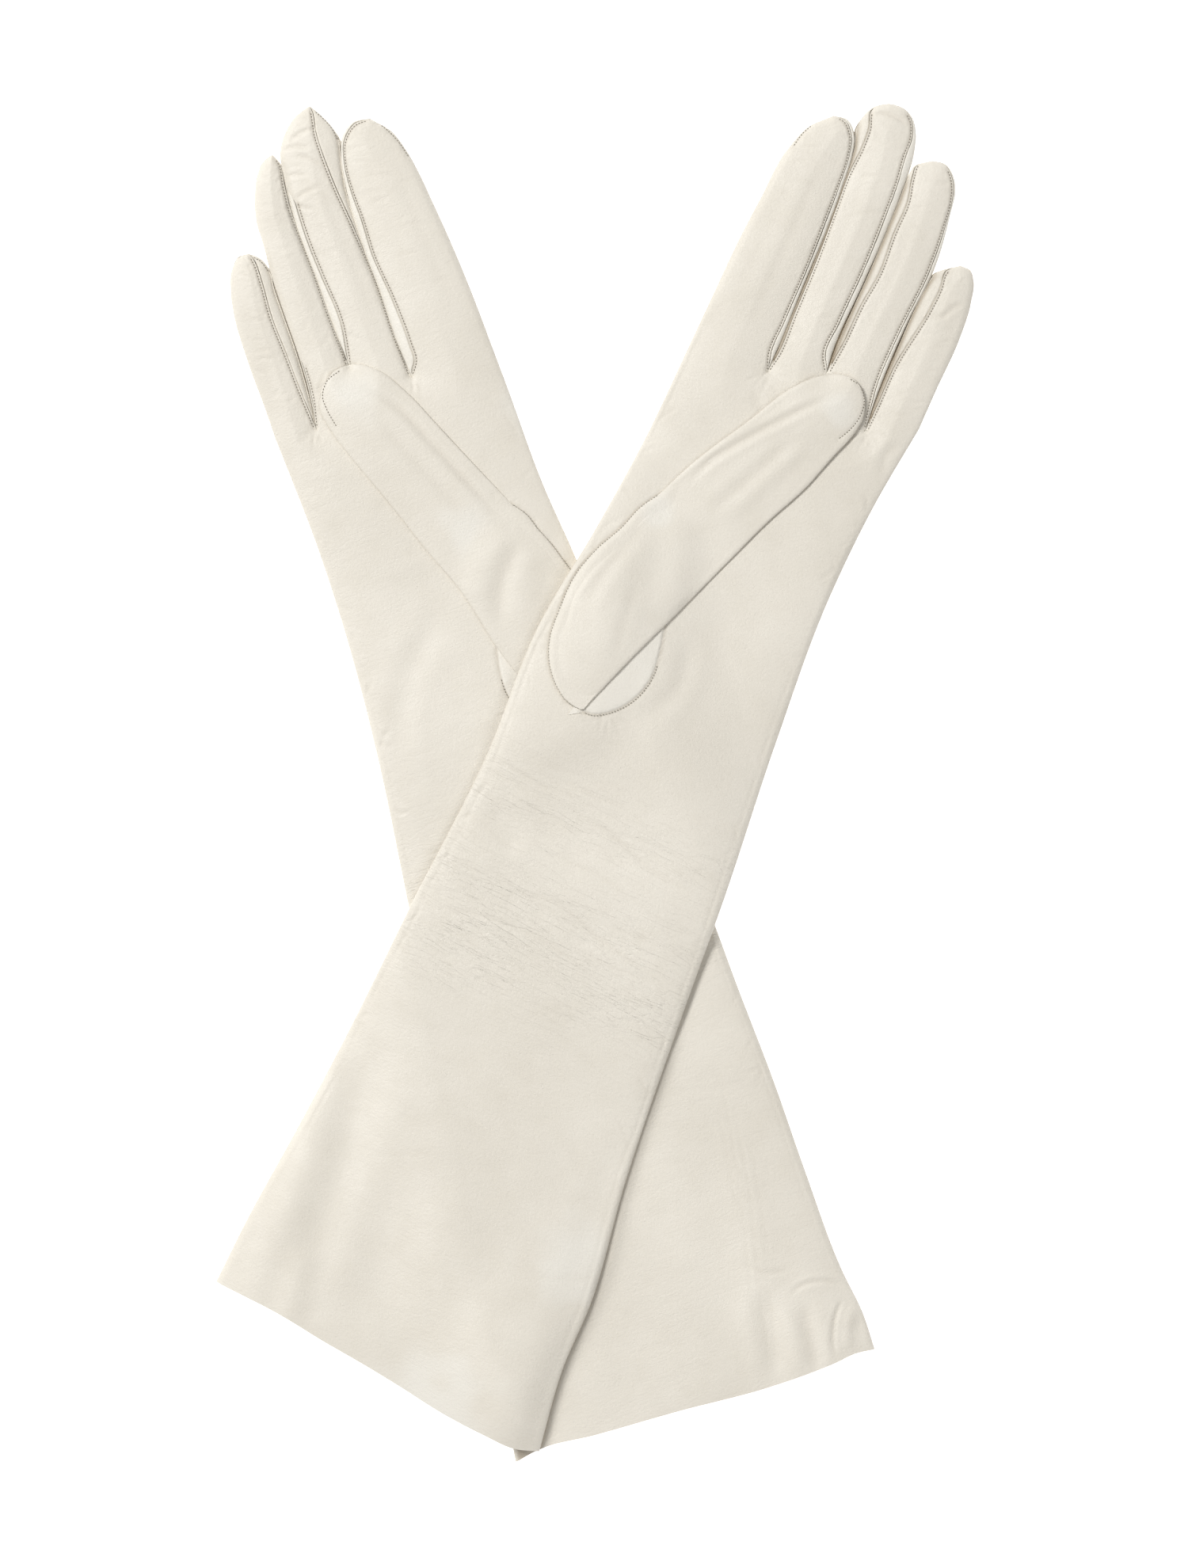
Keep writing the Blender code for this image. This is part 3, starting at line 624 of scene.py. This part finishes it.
    def relief(self, p, thumb=False):
        """Height that the creases and the soft waves of the leather add, and the painted shade in the
        creases.
        """
        x, y = p[:, 0], p[:, 1]
        q = self.own(p)
        seed = 31 if self.side == "left" else 47
        dz = 0.3 * noise(x / 46 + 3, y / 60, seed) + 0.12 * noise(q[0] / 17, q[1] / 23, seed + 1)
        dz += 0.035 * noise(q[0] / 9, q[1] / 5, seed + 2)
        dark = np.zeros(len(p))
        # creases that run across the glove, dense at the wrist and faint elsewhere, with painted shade in
        # them
        warp = noise(q[0] / 16, q[1] / 11, seed + 3)
        wrist = self.wrist(p)
        patch = ease(0.35 + 0.9 * noise(x / 24, y / 24, seed + 5))
        layers = ((5.2, 44, 0.13, 0.12, 6), (3.4, 28, 0.15, 0.08, 8), (7.5, 52, 0.1, 0.12, 10))
        for scale, reach, width, depth, seed_step in layers:
            n = noise(q[0] / reach + 0.6 * warp, (q[1] + 0.18 * q[0]) / scale + 1.1 * warp, seed + seed_step)
            line = np.exp(-((n / width) ** 2)) * (0.3 * patch + 0.62 * wrist)
            dz -= 0.6 * depth * line
            dark += 0.025 * line * depth / 0.1
        if thumb:
            return dz * 0.5, dark * 0.6
        for line, depth, width in self.creases:
            i = near(p, line, 3 * width)
            if not len(i):
                continue
            r, place = distance(p[i], line)
            ends = ease(place / 0.3) * ease((1 - place) / 0.3)
            r = r / width
            dz[i] += ends * depth * (-np.exp(-(r**2)) + 0.45 * np.exp(-((r - 1.7) ** 2)))
            # painted shade in the narrow valleys
            if depth > 0 and width < 3:
                dark[i] += ends * min(1, depth / 0.3) * 0.09 * np.exp(-((r * 1.6) ** 2))
        return dz, dark


# Materials


def leather_material(name, light, deep, grain=1.0):
    """Smooth kid leather: two close tones, painted shade in creases, seams and beside folds, a fine pebble
    with hair cells and a soft sheen.
    """
    made = bpy.data.materials.new(name)
    made.use_nodes = True
    nodes, links = made.node_tree.nodes, made.node_tree.links
    shader = nodes["Principled BSDF"]
    place = nodes.new("ShaderNodeTexCoord").outputs["Object"]

    def noise_node(source, scale, **values):
        node = nodes.new("ShaderNodeTexNoise")
        node.inputs["Scale"].default_value = scale
        for key, value in values.items():
            node.inputs[key].default_value = value
        links.new(source, node.inputs["Vector"])
        return node.outputs["Fac"]

    def stretched(across, along_it, turn=0.0):
        """The glove's own directions, in steps of this many millimetres."""
        node = nodes.new("ShaderNodeMapping")
        node.inputs["Scale"].default_value = (1 / (across * MM), 1 / (along_it * MM), 1)
        node.inputs["Rotation"].default_value = (0, 0, turn)
        links.new(flow, node.inputs["Vector"])
        return node.outputs["Vector"]

    def mix(kind, factor, a, b):
        node = nodes.new("ShaderNodeMix")
        node.data_type = "RGBA"
        node.blend_type = kind
        for key, value in ((0, factor), (6, a), (7, b)):
            if isinstance(value, bpy.types.NodeSocket):
                links.new(value, node.inputs[key])
            else:
                node.inputs[key].default_value = value
        return node.outputs[2]

    def ramp(source, low, high, to_low=0.0, to_high=1.0):
        node = nodes.new("ShaderNodeMapRange")
        for key, value in (("From Min", low), ("From Max", high), ("To Min", to_low), ("To Max", to_high)):
            node.inputs[key].default_value = value
        links.new(source, node.inputs["Value"])
        return node.outputs["Result"]

    def attribute(key, output="Fac"):
        node = nodes.new("ShaderNodeAttribute")
        node.attribute_name = key
        return node.outputs[output]

    def math_node(kind, a, b=None):
        node = nodes.new("ShaderNodeMath")
        node.operation = kind
        for k, value in enumerate((a, b)):
            if isinstance(value, bpy.types.NodeSocket):
                links.new(value, node.inputs[k])
            elif value is not None:
                node.inputs[k].default_value = value
        return node.outputs[0]

    cloud = noise_node(place, 16, Detail=3.0, Roughness=0.55)
    mottle = noise_node(place, 120, Detail=4.0, Roughness=0.55)
    tone = mix("MIX", ramp(cloud, 0.36, 0.66), (*deep, 1), (*light, 1))
    tone = mix("MULTIPLY", ramp(mottle, 0.42, 0.72), tone, (0.975, 0.972, 0.965, 1))
    rubbed = math_node("MULTIPLY", attribute("pale"), 0.55)
    tone = mix("MIX", rubbed, tone, (0.825, 0.80, 0.735, 1))
    # painted shade from a mesh attribute: darker in creases, seam grooves, under folds and where the other
    # glove shades it
    tone = mix("MULTIPLY", attribute("painted_shade"), tone, (0.40, 0.335, 0.25, 1))
    links.new(tone, shader.inputs["Base Color"])

    flow = attribute("flow", "Vector")

    def crease_lines(across, along_it, width, detail, warp):
        """Thin lines that run across the glove: where a stretched noise passes its middle."""
        wave = noise_node(stretched(across, along_it, 0.12), 1.0, Detail=detail, Distortion=warp)
        return ramp(math_node("ABSOLUTE", math_node("SUBTRACT", wave, 0.5)), 0.0, width)

    cells = nodes.new("ShaderNodeTexVoronoi")
    cells.feature = "DISTANCE_TO_EDGE"
    cells.inputs["Scale"].default_value = 1.0
    links.new(stretched(0.8, 0.62), cells.inputs["Vector"])
    strong = math_node("ADD", math_node("MULTIPLY", attribute("worn"), 0.55), 0.14)
    layers = (
        (crease_lines(16, 2.4, 0.045, 2.5, 0.4), 0.14, strong),
        (crease_lines(4.5, 1.5, 0.07, 2.0, 0.6), 0.08, strong),
        (ramp(cells.outputs["Distance"], 0.0, 0.12), 0.016, None),
        (noise_node(place, 1150, Detail=3.5, Roughness=0.62), 0.15, None),
    )
    normal = None
    for source, depth, amount in layers:
        bump = nodes.new("ShaderNodeBump")
        bump.inputs["Strength"].default_value = 1.0
        bump.inputs["Distance"].default_value = depth * MM * grain
        height = source if amount is None else math_node("MULTIPLY", source, amount)
        links.new(height, bump.inputs["Height"])
        if normal is not None:
            links.new(normal, bump.inputs["Normal"])
        normal = bump.outputs["Normal"]
    links.new(normal, shader.inputs["Normal"])
    links.new(ramp(mottle, 0.3, 0.7, 0.41, 0.54), shader.inputs["Roughness"])
    shader.inputs["Specular IOR Level"].default_value = 0.35
    shader.inputs["Sheen Weight"].default_value = 0.08
    shader.inputs["Sheen Roughness"].default_value = 0.5
    return made


def thread_material(name, deep, light):
    """Sewing silk, mottled by its twist."""
    made = bpy.data.materials.new(name)
    made.use_nodes = True
    nodes, links = made.node_tree.nodes, made.node_tree.links
    shader = nodes["Principled BSDF"]
    place = nodes.new("ShaderNodeTexCoord")
    twist = nodes.new("ShaderNodeTexNoise")
    twist.inputs["Scale"].default_value = 1400
    links.new(place.outputs["Object"], twist.inputs["Vector"])
    ramp = nodes.new("ShaderNodeValToRGB")
    ramp.color_ramp.elements[0].color = (*deep, 1)
    ramp.color_ramp.elements[1].color = (*light, 1)
    links.new(twist.outputs["Fac"], ramp.inputs["Fac"])
    links.new(ramp.outputs["Color"], shader.inputs["Base Color"])
    bump = nodes.new("ShaderNodeBump")
    bump.inputs["Distance"].default_value = 0.05 * MM
    links.new(twist.outputs["Fac"], bump.inputs["Height"])
    links.new(bump.outputs["Normal"], shader.inputs["Normal"])
    shader.inputs["Roughness"].default_value = 0.75
    return made


LEATHER = leather_material("kid_leather", (0.80, 0.755, 0.67), (0.745, 0.70, 0.615))
# a paler copy of the leather: a painted highlight on the ulnar fourchettes' rounded folds, and the colour of
# the gussets and crotch folds
PALE = leather_material("kid_leather_pale", (0.83, 0.795, 0.72), (0.80, 0.76, 0.68), 0.8)
THREAD = thread_material("thread", (0.19, 0.168, 0.135), (0.36, 0.325, 0.27))
PALE_THREAD = thread_material("pale_thread", (0.36, 0.335, 0.285), (0.50, 0.47, 0.41))


# Panels


def add_piece(name, points, faces, material):
    """A smooth mesh from points in millimetres on the drawing."""
    points[:, :2] += SHIFT
    mesh = bpy.data.meshes.new(name)
    mesh.from_pydata((points * MM).tolist(), [], faces)
    mesh.polygons.foreach_set("use_smooth", [True] * len(mesh.polygons))
    mesh.materials.append(material)
    obj = bpy.data.objects.new(name, mesh)
    bpy.context.collection.objects.link(obj)
    return obj


def panel(name, glove, grid, dark=None, material=LEATHER, up=True, thickness=KID):
    """A piece of leather whose outer face is this grid of points (rows, columns, 3)."""
    rows, columns = grid.shape[:2]
    # its edges are pared thin
    from_side = np.minimum(np.arange(columns), np.arange(columns)[::-1])[None, :]
    from_tip = np.arange(rows)[::-1][:, None]
    wall = thickness * np.clip(np.minimum(from_side, from_tip + 1) / 4, 0.06, 1)
    inner = grid - wall[..., None] * np.array([0, 0, 1 if up else -1])
    points = np.concatenate([grid.reshape(-1, 3), inner.reshape(-1, 3)])
    index = np.arange(rows * columns).reshape(rows, columns)
    a, b, c, d = index[:-1, :-1], index[:-1, 1:], index[1:, 1:], index[1:, :-1]
    outer = np.stack([a, b, c, d], axis=-1).reshape(-1, 4)
    under = outer[:, ::-1] + rows * columns
    ring = np.concatenate([index[0, :-1], index[:-1, -1], index[-1, :0:-1], index[:0:-1, 0]])
    after = np.roll(ring, -1)
    rim = np.stack([after, ring, ring + rows * columns, after + rows * columns], axis=-1)
    faces = np.concatenate([outer, under, rim])
    middle = outer[len(outer) // 2]
    across, ahead = points[middle[1]] - points[middle[0]], points[middle[3]] - points[middle[0]]
    if (np.cross(across, ahead)[2] < 0) == up:
        faces = faces[:, ::-1]
    obj = add_piece(name, points, faces.tolist(), material)
    mesh = obj.data
    mesh.set_sharp_from_angle(angle=math.radians(55))

    if dark is None:
        dark = np.zeros(rows * columns)
    plan = grid[..., :2].reshape(-1, 2)
    # the painted shade goes on the outer face only; the inner face gets none
    shades = {"painted_shade": np.clip(dark.reshape(-1), 0, 1), "pale": glove.pale(plan), "worn": glove.wrist(plan)}
    for key, value in shades.items():
        inside = np.zeros(len(value)) if key == "painted_shade" else value
        mesh.attributes.new(key, "FLOAT", "POINT").data.foreach_set("value", np.concatenate([value, inside]))
    flow = np.column_stack([*glove.own(plan), np.zeros(len(plan))])
    flow = (np.concatenate([flow, flow]) * MM).reshape(-1)
    mesh.attributes.new("flow", "FLOAT_VECTOR", "POINT").data.foreach_set("vector", flow)
    return obj


def cosine(count):
    """Shares from 0 to 1, closest together at both ends."""
    return (1 - np.cos(np.linspace(0, math.pi, count + 1))) / 2


def hand_columns():
    """The columns of the hand's leather, which meet those of each finger."""
    shares = [0.0]
    for k, finger in enumerate(FINGERS):
        span = ROOT_SHARES[k + 1] - ROOT_SHARES[k]
        shares += (ROOT_SHARES[k] + span * cosine(COLUMNS[finger])[1:]).tolist()
    return np.array(shares)


def between(low, high, ups, columns):
    """A plan (rows, columns, 2) that spans two curves."""
    a, b = along(low, ups), along(high, ups)
    t = cosine(columns)[None, :, None]
    return a[:, None] * (1 - t) + b[:, None] * t


def tip_rows(count):
    """Shares of a finger's length, closest together at its tip."""
    w = np.linspace(0, 1, count)
    u = 0.55 * w + 0.45 * np.sin(math.pi / 2 * w)
    return u * 0.9985


def lay(plan, height):
    """The grid of points of a plan (rows, columns, 2) on a height field."""
    flat = plan.reshape(-1, 2)
    found = height(flat)
    z, dark = found if isinstance(found, tuple) else (found, None)
    return np.concatenate([plan, z.reshape(*plan.shape[:2], 1)], axis=2), dark


def bend(obj):
    """The piece's transform, baked into its mesh."""
    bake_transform(obj)
    return obj


def stitches(name, lines, height, material=THREAD):
    """Short threads sunk in the leather along these lines."""
    points, faces = [], []
    sections = ((-0.3, 0.06, 0.0), (-0.17, 0.14, 0.1), (0.17, 0.14, 0.1), (0.3, 0.06, 0.0))
    turns = [2 * math.pi * k / THREAD_SIDES for k in range(THREAD_SIDES)]
    for line in lines:
        line = smooth_line(line, 0.5)
        steps = np.concatenate([[0], np.cumsum(np.linalg.norm(np.diff(line, axis=0), axis=1))])
        at = np.arange(PITCH, steps[-1] - PITCH / 2, PITCH)
        place = np.stack([np.interp(at, steps, line[:, k]) for k in (0, 1)], axis=1)
        ahead = np.gradient(place, axis=0)
        ahead /= np.linalg.norm(ahead, axis=1)[:, None]
        z = height(place)
        z = z[0] if isinstance(z, tuple) else z
        for (x, y), (dx, dy), h in zip(place, ahead, z):
            start = len(points)
            for step, size, rise in sections:
                for a in turns:
                    side, high = size * math.cos(a), h + rise + size * math.sin(a) * 0.8 + 0.02
                    points.append((x + dx * step - dy * side, y + dy * step + dx * side, high))
            for row in range(len(sections) - 1):
                for k in range(THREAD_SIDES):
                    a, b = (start + row * THREAD_SIDES + n % THREAD_SIDES for n in (k, k + 1))
                    faces.append((a, b, b + THREAD_SIDES, a + THREAD_SIDES))
            faces.append(tuple(range(start, start + THREAD_SIDES))[::-1])
            faces.append(tuple(range(len(points) - THREAD_SIDES, len(points))))
    return add_piece(name, np.array(points), faces, material)


def make_hand(glove):
    """The palm and back leather, with the sleeve."""
    side, body = glove.side, f"{glove.side}_hand"
    shares = hand_columns()
    plan = np.stack([glove.hand(np.full(len(shares), u), shares) for u in np.linspace(0, 1, HAND_ROWS)])
    grid, dark = lay(plan, glove.top)
    palm = panel(f"{side}_palm", glove, grid, dark)
    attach(palm, body)
    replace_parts(palm, f"{side}_palm_leather")
    grid, _ = lay(plan[::2, ::2], glove.under)
    back = panel(f"{side}_back", glove, grid, up=False)
    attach(back, body)
    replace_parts(back, f"{side}_back_leather")


def towards(line, other, reach, limit=0.45):
    """A line moved towards another by this much, or by a share of the way where they are close."""
    ups = np.linspace(0, 1, 40)
    a, b = along(line, ups), along(other, ups)
    gap = np.maximum(np.linalg.norm(b - a, axis=1), 1e-6)
    return a + (b - a) * np.clip(np.minimum(reach / gap, limit), -20, 1)[:, None]


def finger_plan(glove, finger, low, high, ups, columns):
    """A strip between these edges that starts where the hand's leather ends."""
    k = FINGERS.index(finger)
    plan = between(low, high, ups, columns)
    t = cosine(columns)[:, None]
    root = glove.roots[k] * (1 - t) + glove.roots[k + 1] * t
    return plan + (root - plan[0])[None] * (1 - ease(ups / 0.05))[:, None, None]


def make_fourchette(glove, finger, where, ups):
    """The strip along a finger's side, from its fold beside the back strip to its seam."""
    side, f = glove.side, glove.plan["fingers"][finger]
    radial = where == "radial"
    shown = (1 - ease((ups - 0.8) / 0.1))[:, None]
    a, b = along(f[f"{where}_seam"], ups), along(f[f"{where}_outer"], ups)
    if radial:
        # the fold stands out a little
        b = b - (a - b) / np.maximum(np.linalg.norm(a - b, axis=1), 0.3)[:, None] * (0.9 * shown)
    gap = np.maximum(np.linalg.norm(b - a, axis=1), 1e-6)[:, None]
    hidden = np.minimum(0.8, gap)
    tuck = a - (b - a) / gap * hidden
    q = np.linspace(0, 1, FOURCHETTE_COLUMNS)[None, :, None]
    plan = b[:, None] * (1 - q) + tuck[:, None] * q
    share = q[..., 0] * (1 + hidden / gap)
    flat = plan.reshape(-1, 2)
    tube = glove.lift(flat).reshape(share.shape) + EDGE_Z
    tube = tube + np.minimum(0.8, 0.3 + 0.25 * gap) * rounded(share / 0.5)
    wide = ease((gap - 1.5) / 3)
    z = tube * (1 - wide) + glove.base(flat)[0].reshape(share.shape) * wide
    # it dives under the palm's leather at the seam, with painted shade where it dives
    edge = np.minimum(0.6, gap * 0.45) + np.minimum(0.5, gap * 0.4)
    dive = ease((share - 1 + edge / gap) * gap / 0.55)
    dark = 0.12 * dive
    run = share * gap
    # the radial fourchette sinks beside its neighbour's fold and gets painted shade there
    if radial:
        z = z - (1 - ease(run / 2.2)) * shown
        if side == "right":
            shade = 0.5 * (1 - ease(run / 1.6))
        else:
            shade = 0.95 * (1 - ease(run / 3.0)) + 0.12 * ease(gap / 2) * (1 - ease(run / 7))
        dark = dark + shade * shown
    z = z - 0.1 - 0.55 * dive
    z = z + 0.03 * noise(plan[..., 0] / 2.2, plan[..., 1] / 2.2, 77) * ease(share / 0.3)
    grid = np.concatenate([plan, z[..., None]], axis=2)
    name = f"{side}_{finger}_fourchette_{where}"
    # the ulnar fourchette is made of the paler leather, a painted highlight on its rounded fold
    skin = panel(name + "_skin", glove, grid, dark, LEATHER if radial else PALE, thickness=LINING_KID)
    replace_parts(bend(skin), name)


def make_finger(glove, finger):
    """A finger's palm and back strips, its fourchettes and its stitches."""
    side, f = glove.side, glove.plan["fingers"][finger]
    ups = tip_rows(FINGER_ROWS)
    edges = {}
    for where in ("radial", "ulnar"):
        outer = f[f"{where}_outer"]
        seam = f.get(f"{where}_seam")
        edges[where] = outer if seam is None else towards(seam, outer, 0.65)
        if f"{where}_stitched" in f:
            share = np.linspace(0, 1, 40)
            free = ease((share - f[f"{where}_stitched"]) / 0.05)[:, None]
            edges[where] = edges[where] * (1 - free) + along(outer, share) * free
    plan = finger_plan(glove, finger, edges["radial"], edges["ulnar"], ups, COLUMNS[finger])
    strip = bend(panel(f"{side}_{finger}_palm", glove, *lay(plan, glove.top)))
    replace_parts(strip, f"{side}_{finger}_palm_strip")
    plan = finger_plan(glove, finger, f["radial_outer"], f["ulnar_outer"], ups[::2], UNDER_COLUMNS)
    grid, _ = lay(plan, glove.under)
    back = bend(panel(f"{side}_{finger}_back", glove, grid, up=False))
    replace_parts(back, f"{side}_{finger}_back_strip")
    lines = []
    for where in ("radial", "ulnar"):
        if f"{where}_seam" in f:
            make_fourchette(glove, finger, where, ups)
            ends = f.get(f"{where}_stitched", 0.985)
            lines.append(along(f[f"{where}_seam"], np.linspace(0, ends, 60)))
    if finger in glove.plan["tip_seams"]:
        lines.append(glove.plan["tip_seams"][finger])
    thread = bend(stitches(f"{side}_{finger}_stitches", lines, glove.top))
    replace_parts(thread, f"{side}_{finger}_seam_thread")


THUMB_CREASES = {  # on a folded thumb: a line, its depth and its width
    "left": (
        ([(76, 123), (61.2, 115.9), (46.4, 108), (35.5, 101), (28, 93)], 0.4, 1.3),
        ([(24, 88), (27, 76), (25, 62), (22, 50)], -0.6, 5.6),
        ([(20, 84), (10, 66), (4, 48), (0, 34)], -0.2, 5.0),
        ([(16, 82), (4, 68), (-4, 54)], 0.26, 2.4),
        ([(34, 84), (48, 96), (64, 110)], 0.22, 2.0),
        ([(14, 66), (9, 50), (6, 38)], 0.14, 1.8),
        ([(40, 82), (56, 97), (70, 110)], -0.2, 2.2),
        ([(8, 78), (12.8, 82), (17, 86.2), (21, 91)], 0.3, 0.6),
        ([(-10, 46), (-8, 58), (0, 69), (8, 77)], 0.22, 1.1),
    ),
    "right": (
        ([(-76, 126), (-64, 120), (-50, 106), (-38, 93), (-28, 82)], 0.4, 1.4),
        ([(-26, 80), (-36, 66), (-38, 54)], -0.5, 5.0),
        ([(-20, 76), (-22, 60), (-22, 44)], -0.4, 4.4),
        ([(-24, 78), (-30, 60), (-30, 48)], 0.3, 2.6),
        ([(-13, 76), (-17.5, 79), (-21.5, 83), (-25.5, 88)], 0.3, 0.6),
        ([(-40, 84), (-55, 100), (-70, 116)], 0.22, 2.0),
    ),
}


def thumb_height(glove):
    """The top and the underside of the folded thumb over its palm."""
    plan = glove.plan
    fold = np.concatenate([smooth_line(plan["thumb_fold"]), smooth_line(plan["thumb_upper"])[::-1]])
    seam = smooth_line(plan["thumb_seam"])
    tip = smooth_line(plan["thumb_tip_seam"])
    creases = [(smooth_line(line), depth, width) for line, depth, width in THUMB_CREASES[glove.side]]

    def top(p):
        z, _ = glove.base(p)
        from_fold = distance(p, fold)[0]
        from_seam = distance(p, seam)[0]
        grown = 1 - np.exp(-from_seam / 7)
        rise = 0.5 + 0.5 * rounded(from_fold / 1.4) + 0.8 * (1 - np.exp(-from_fold / 9))
        dz, dark = glove.relief(p + (37, 11), True)
        keep = ease(from_fold / 2.5)
        groove_dz, groove_dark = np.zeros(len(p)), np.zeros(len(p))
        for line, depth, width in creases:
            r, place = distance(p, line)
            ends = ease(place / 0.25) * ease((1 - place) / 0.25)
            r = r / width
            groove_dz += ends * depth * (-np.exp(-(r**2)) + 0.4 * np.exp(-((r - 1.7) ** 2)))
            # painted shade in the thumb's creases
            groove_dark += ends * max(depth, 0) * 0.2 * np.exp(-((r * 1.4) ** 2))
        dz -= 0.2 * np.exp(-((distance(p, tip)[0] / 0.4) ** 2))
        # painted shade along the thumb's seam
        near_seam = 0.2 * np.exp(-((from_seam / 0.4) ** 2))
        dark = np.clip(dark * keep + groove_dark + near_seam, 0, 1)
        return z + 0.12 + grown * rise + (dz + groove_dz) * keep, dark

    def under(p):
        z, _ = glove.base(p)
        from_fold = distance(p, fold)[0]
        grown = 1 - np.exp(-distance(p, seam)[0] / 7)
        return z + 0.1 + grown * (0.5 - 0.42 * rounded(from_fold / 1.4))

    return top, under


def make_thumb(glove):
    """The thumb's two faces, the gusset that shows beside its fold, and its stitches."""
    side, plan = glove.side, glove.plan
    top, under = thumb_height(glove)
    oval = smooth_line(plan["thumb_seam"])
    ends = np.concatenate([smooth_line(plan["thumb_seam"], 3), smooth_line(plan["thumb_upper"], 3)[1:]])
    fold = smooth_line(plan["thumb_fold"], 3)
    ups = 0.004 + tip_rows(THUMB_ROWS) * 0.996
    grid, dark = lay(between(ends, fold, ups, THUMB_COLUMNS), top)
    front = bend(panel(f"{side}_thumb_outer", glove, grid, dark))
    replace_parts(front, f"{side}_thumb_front", f"{side}_thumb_base")
    grid, _ = lay(between(ends, fold, ups[::2], THUMB_COLUMNS // 2), under)
    back = bend(panel(f"{side}_thumb_inner", glove, grid, up=False))
    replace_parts(back, f"{side}_thumb_back")

    seam = smooth_line(plan["gusset_seam"])
    width = np.linalg.norm(np.array(plan["gusset_seam"][-1], float) - plan["thumb_fold"][0])
    run = along(plan["thumb_fold"], np.linspace(0.0, min(0.5, width / 125), 30))
    away = run - seam[len(seam) // 2]
    inward = run + away / np.linalg.norm(away, axis=1)[:, None] * 5

    def raised(p):
        z, dark = glove.top(p)
        d = distance(p, seam)[0]
        # painted shade along the gusset's seam
        return z + 0.3 * ease(d / 1.2) - 0.06, dark * 0.5 + 0.15 * np.exp(-((d / 0.4) ** 2))

    grid, dark = lay(between(seam, inward, np.linspace(0, 1, GUSSET_ROWS), UNDER_COLUMNS), raised)
    gusset = panel(f"{side}_gusset", glove, grid, dark, PALE, thickness=GUSSET_KID)
    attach(gusset, f"{side}_hand")
    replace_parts(gusset, f"{side}_thumb_gusset")

    def sewn(p):
        z = glove.top(p)[0]
        return 0.26 + np.where(distance(p, oval)[0] < 0.6, np.maximum(z, top(p)[0] - 0.16), z)

    lines = [plan["thumb_seam"], along(plan["gusset_seam"], np.linspace(0, 0.72, 24))]
    base = stitches(f"{side}_thumb_stitches", lines, sewn, PALE_THREAD)
    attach(base, f"{side}_hand")
    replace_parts(base, f"{side}_thumb_seam_thread")
    bend(stitches(f"{side}_thumb_tip_stitches", [plan["thumb_tip_seam"]], top))


def make_forks(glove):
    """The folded leather at each crotch, where two fourchettes meet."""
    side, fingers = glove.side, glove.plan["fingers"]
    for first, second in zip(FINGERS[:-1], FINGERS[1:]):
        out = along(fingers[first]["ulnar_outer"], [0.1, 0.06, 0.02])
        back = along(fingers[second]["radial_outer"], [0.02, 0.06, 0.1])
        line = smooth_line(np.concatenate([out, back]), 0.5)
        low = glove.lift(line) + 0.35
        high = glove.lift(line) + EDGE_Z + 0.1
        levels = [low + (high - low) * t for t in np.linspace(0, 1, 5)]
        grid = np.stack([np.column_stack([line, z]) for z in levels], axis=1)
        fork = panel(f"{side}_{first}_{second}_crotch", glove, grid, None, PALE, thickness=GUSSET_KID)
        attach(fork, f"{side}_hand")
        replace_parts(fork, f"{side}_{first}_{second}_fork")


for side in ("right", "left"):
    glove = Glove(side)
    make_hand(glove)
    for finger in FINGERS:
        make_finger(glove, finger)
    make_thumb(glove)
    make_forks(glove)


# Floor, light and camera


def stage():
    """A white table under two soft lights, seen from straight above."""
    bpy.ops.mesh.primitive_plane_add(size=6, location=(0, 0, -0.0004))
    floor = bpy.context.object
    floor.name = "floor"
    made = bpy.data.materials.new("floor")
    made.use_nodes = True
    shader = made.node_tree.nodes["Principled BSDF"]
    shader.inputs["Base Color"].default_value = (0.93, 0.93, 0.93, 1)
    shader.inputs["Roughness"].default_value = 0.9
    shader.inputs["Specular IOR Level"].default_value = 0.1
    shader.inputs["Emission Color"].default_value = (1, 1, 1, 1)
    shader.inputs["Emission Strength"].default_value = 0.7
    floor.data.materials.append(made)

    world = bpy.data.worlds.new("studio")
    bpy.context.scene.world = world
    world.use_nodes = True
    world.node_tree.nodes["Background"].inputs["Color"].default_value = (1, 0.995, 0.985, 1)
    world.node_tree.nodes["Background"].inputs["Strength"].default_value = 0.31

    def area(name, place, size, power):
        light = bpy.data.lights.new(name, "AREA")
        light.energy = power
        light.size = size
        obj = bpy.data.objects.new(name, light)
        bpy.context.collection.objects.link(obj)
        obj.location = place
        x, y, z = place
        obj.rotation_euler = (math.acos(z / math.hypot(x, y, z)), 0, math.atan2(-y, -x) - math.pi / 2)

    area("key", (-1.9, 1.35, 3.0), 1.2, 116)
    area("fill", (1.6, -0.9, 2.6), 1.6, 16)

    camera = bpy.data.cameras.new("camera")
    camera.lens = 36 * 2.2 / 0.495
    camera.clip_start = 0.05
    obj = bpy.data.objects.new("camera", camera)
    bpy.context.collection.objects.link(obj)
    obj.location = (-0.00025 - 0.00007, 0.00029, 2.2)
    bpy.context.scene.camera = obj
    bpy.context.scene.view_settings.view_transform = "Standard"
    bpy.context.scene.view_settings.exposure = 0.0


stage()
